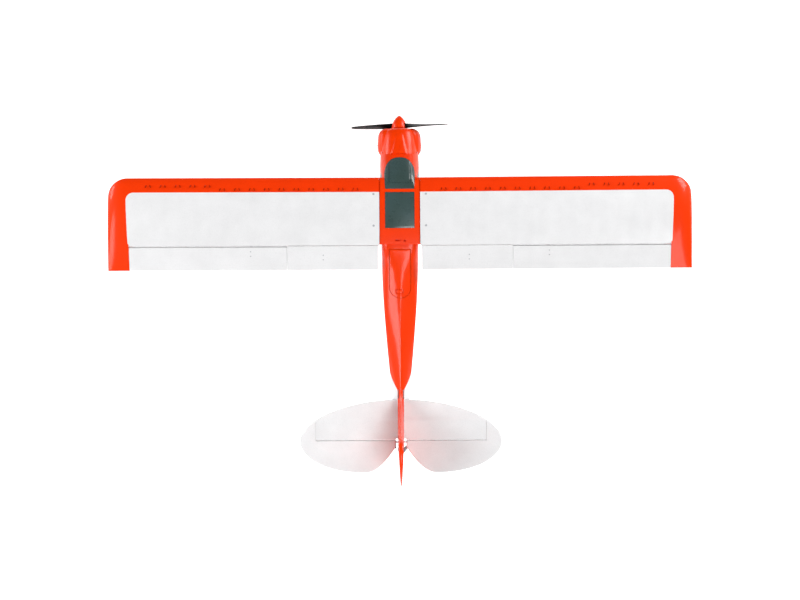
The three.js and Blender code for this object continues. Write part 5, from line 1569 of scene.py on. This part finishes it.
def strut(side):
    """A V strut from the fuselage's side to two brackets under the wing, braced half-way."""
    foot = Vector(STRUT.foot)
    tops = [Vector((STRUT.x, y, lowest(STRUT.x, y) - 3)) for y in (STRUT.front, STRUT.back)]
    tubes = [bar(foot, end, STRUT.across, STRUT.along, 36) for end in tops]
    fittings = [block(end.x - 8, end.x + 6, end.y - 4, end.y + 4, end.z - 3, end.z + 3) for end in tops]
    middles = [foot.lerp(end, STRUT.jury) for end in tops]
    juries = []
    for spot in middles:
        x = spot.x + 8
        juries.append(bar(spot, (x, spot.y, lowest(x, spot.y)), 1.3, 1.8, 20))
        reach = Vector((2.5, 0, 0.9))
        juries.append(bar(spot - reach, spot + reach, 2.9, 5.4, 32, rim=0.6))
    brace = bar(*middles, 1.3, 1.3, 20, (0, 0, 1))
    shoe = block(44.6, 52, foot.y - 9, foot.y + 9, foot.z - 4, foot.z + 5.5)
    made = fuse(shoe, *tubes, *fittings, *juries, brace)
    finish(on_side(made, side), f"wing_strut_{side}", "airframe", "gear_enamel", f"strut_{side}", angle=35,
           rim=0.3)
    heads = [peg("z", end.z - 3.7, end.z - 2.4, (end.x + dx, end.y), 1.6, 20, 0.4)
             for end in tops for dx in (-4.8, 3.2)]
    heads += [peg("x", 51.4, 52.8, (foot.y + dy, foot.z), 1.8, 20, 0.4) for dy in (-6, 6)]
    extra([on_side(together(*heads), side)], f"strut_screws_{side}", SCREW)


for build in (fuselage, cowl, cowl_screws, louvres, motor_mount, motor, propeller, spinner, power, radio,
              spar_tube, tail_surfaces, elevator_linkage, rudder, rudder_linkage, tail_wheel_bracket,
              tail_wheel):
    build()
for side in SIDES:
    wheel(side)
    gear_leg(side)
    strut(side)
gear_mount()

# ---------------------------------------------------------------- camera, light and floor

# how bright the studio is at its sides and overhead
SKY = Sizes(side=1.0, top=0.1)
# soft boxes: where each stands, its side in metres and its power in watts
LAMPS = [("right_front_box", (-2.0, -1.5, 1.5), 1.2, 62), ("left_back_box", (2.2, 0.7, 1.6), 1.2, 38),
         ("left_front_box", (2.4, -1.0, 0.9), 0.8, 24), ("back_box", (-0.9, 2.2, 2.8), 2.0, 90)]
# the camera's height over the shaft and the wing's in metres, the picture's width at the wing in
# metres, the point it looks at in millimetres and its turn in degrees
VIEW = Sizes(distance=3.0, wing_height=0.075, width=1.7828, x=0.6, y=1.1, roll=0.34)


def camera():
    """Straight down the airplane's own up direction, with the nose at the picture's top."""
    data = bpy.data.cameras.new("camera")
    data.sensor_width = 36
    data.lens = data.sensor_width * (VIEW.distance - VIEW.wing_height) / VIEW.width
    holder = linked(bpy.data.objects.new("camera", data))
    level = LEVEL.to_3x3().normalized().to_4x4()
    turn = level @ Matrix.Rotation(math.pi - math.radians(VIEW.roll), 4, "Z")
    spot = LEVEL @ Vector((VIEW.x, VIEW.y, VIEW.distance * 1000))
    holder.matrix_world = Matrix.Translation(spot) @ turn
    bpy.context.scene.camera = holder


def pale_floor():
    """A large sheet of pale paper, lit a little from within so that it stays white."""
    floor = thing([(-9, -9, 0), (9, -9, 0), (9, 9, 0), (-9, 9, 0)], [(0, 1, 2, 3)])
    floor.name = floor.data.name = "floor"
    floor.data.transform(shifted(z=-0.0005))
    nodes = look("pale_floor")
    shade = nodes.shades(nodes.noise(1.5), (0.93, 0.93, 0.93), (0.96, 0.96, 0.96))
    paper = nodes.finished(Base_Color=shade, Roughness=0.95, Specular_IOR_Level=0.1, Emission_Color=(1, 1, 1),
                           Emission_Strength=0.6)
    floor.data.materials.append(paper)
    floor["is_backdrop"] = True


def studio():
    """An even sky that darkens overhead, and soft boxes round the airplane."""
    world = bpy.data.worlds.new("studio")
    nodes = Nodes(world, "Generated")
    height = nodes.add("SeparateXYZ", Vector=nodes.place).outputs["Z"]
    dimmer = nodes.spread(height, SKY.side, SKY.top, 0.15, 0.75)
    nodes.put(nodes.tree.nodes["Background"], {"Strength": dimmer})
    bpy.context.scene.world = world
    bpy.context.scene.view_settings.view_transform = "Standard"
    low, high = (Vector(c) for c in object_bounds())
    for name, spot, size, watts in LAMPS:
        data = bpy.data.lights.new(name, "AREA")
        data.shape = "RECTANGLE"
        data.size = data.size_y = size
        data.energy = watts
        holder = linked(bpy.data.objects.new(name, data))
        holder.location = spot
        holder.rotation_euler = ((low + high) / 2 - Vector(spot)).to_track_quat("-Z", "Y").to_euler()


camera()
pale_floor()
studio()
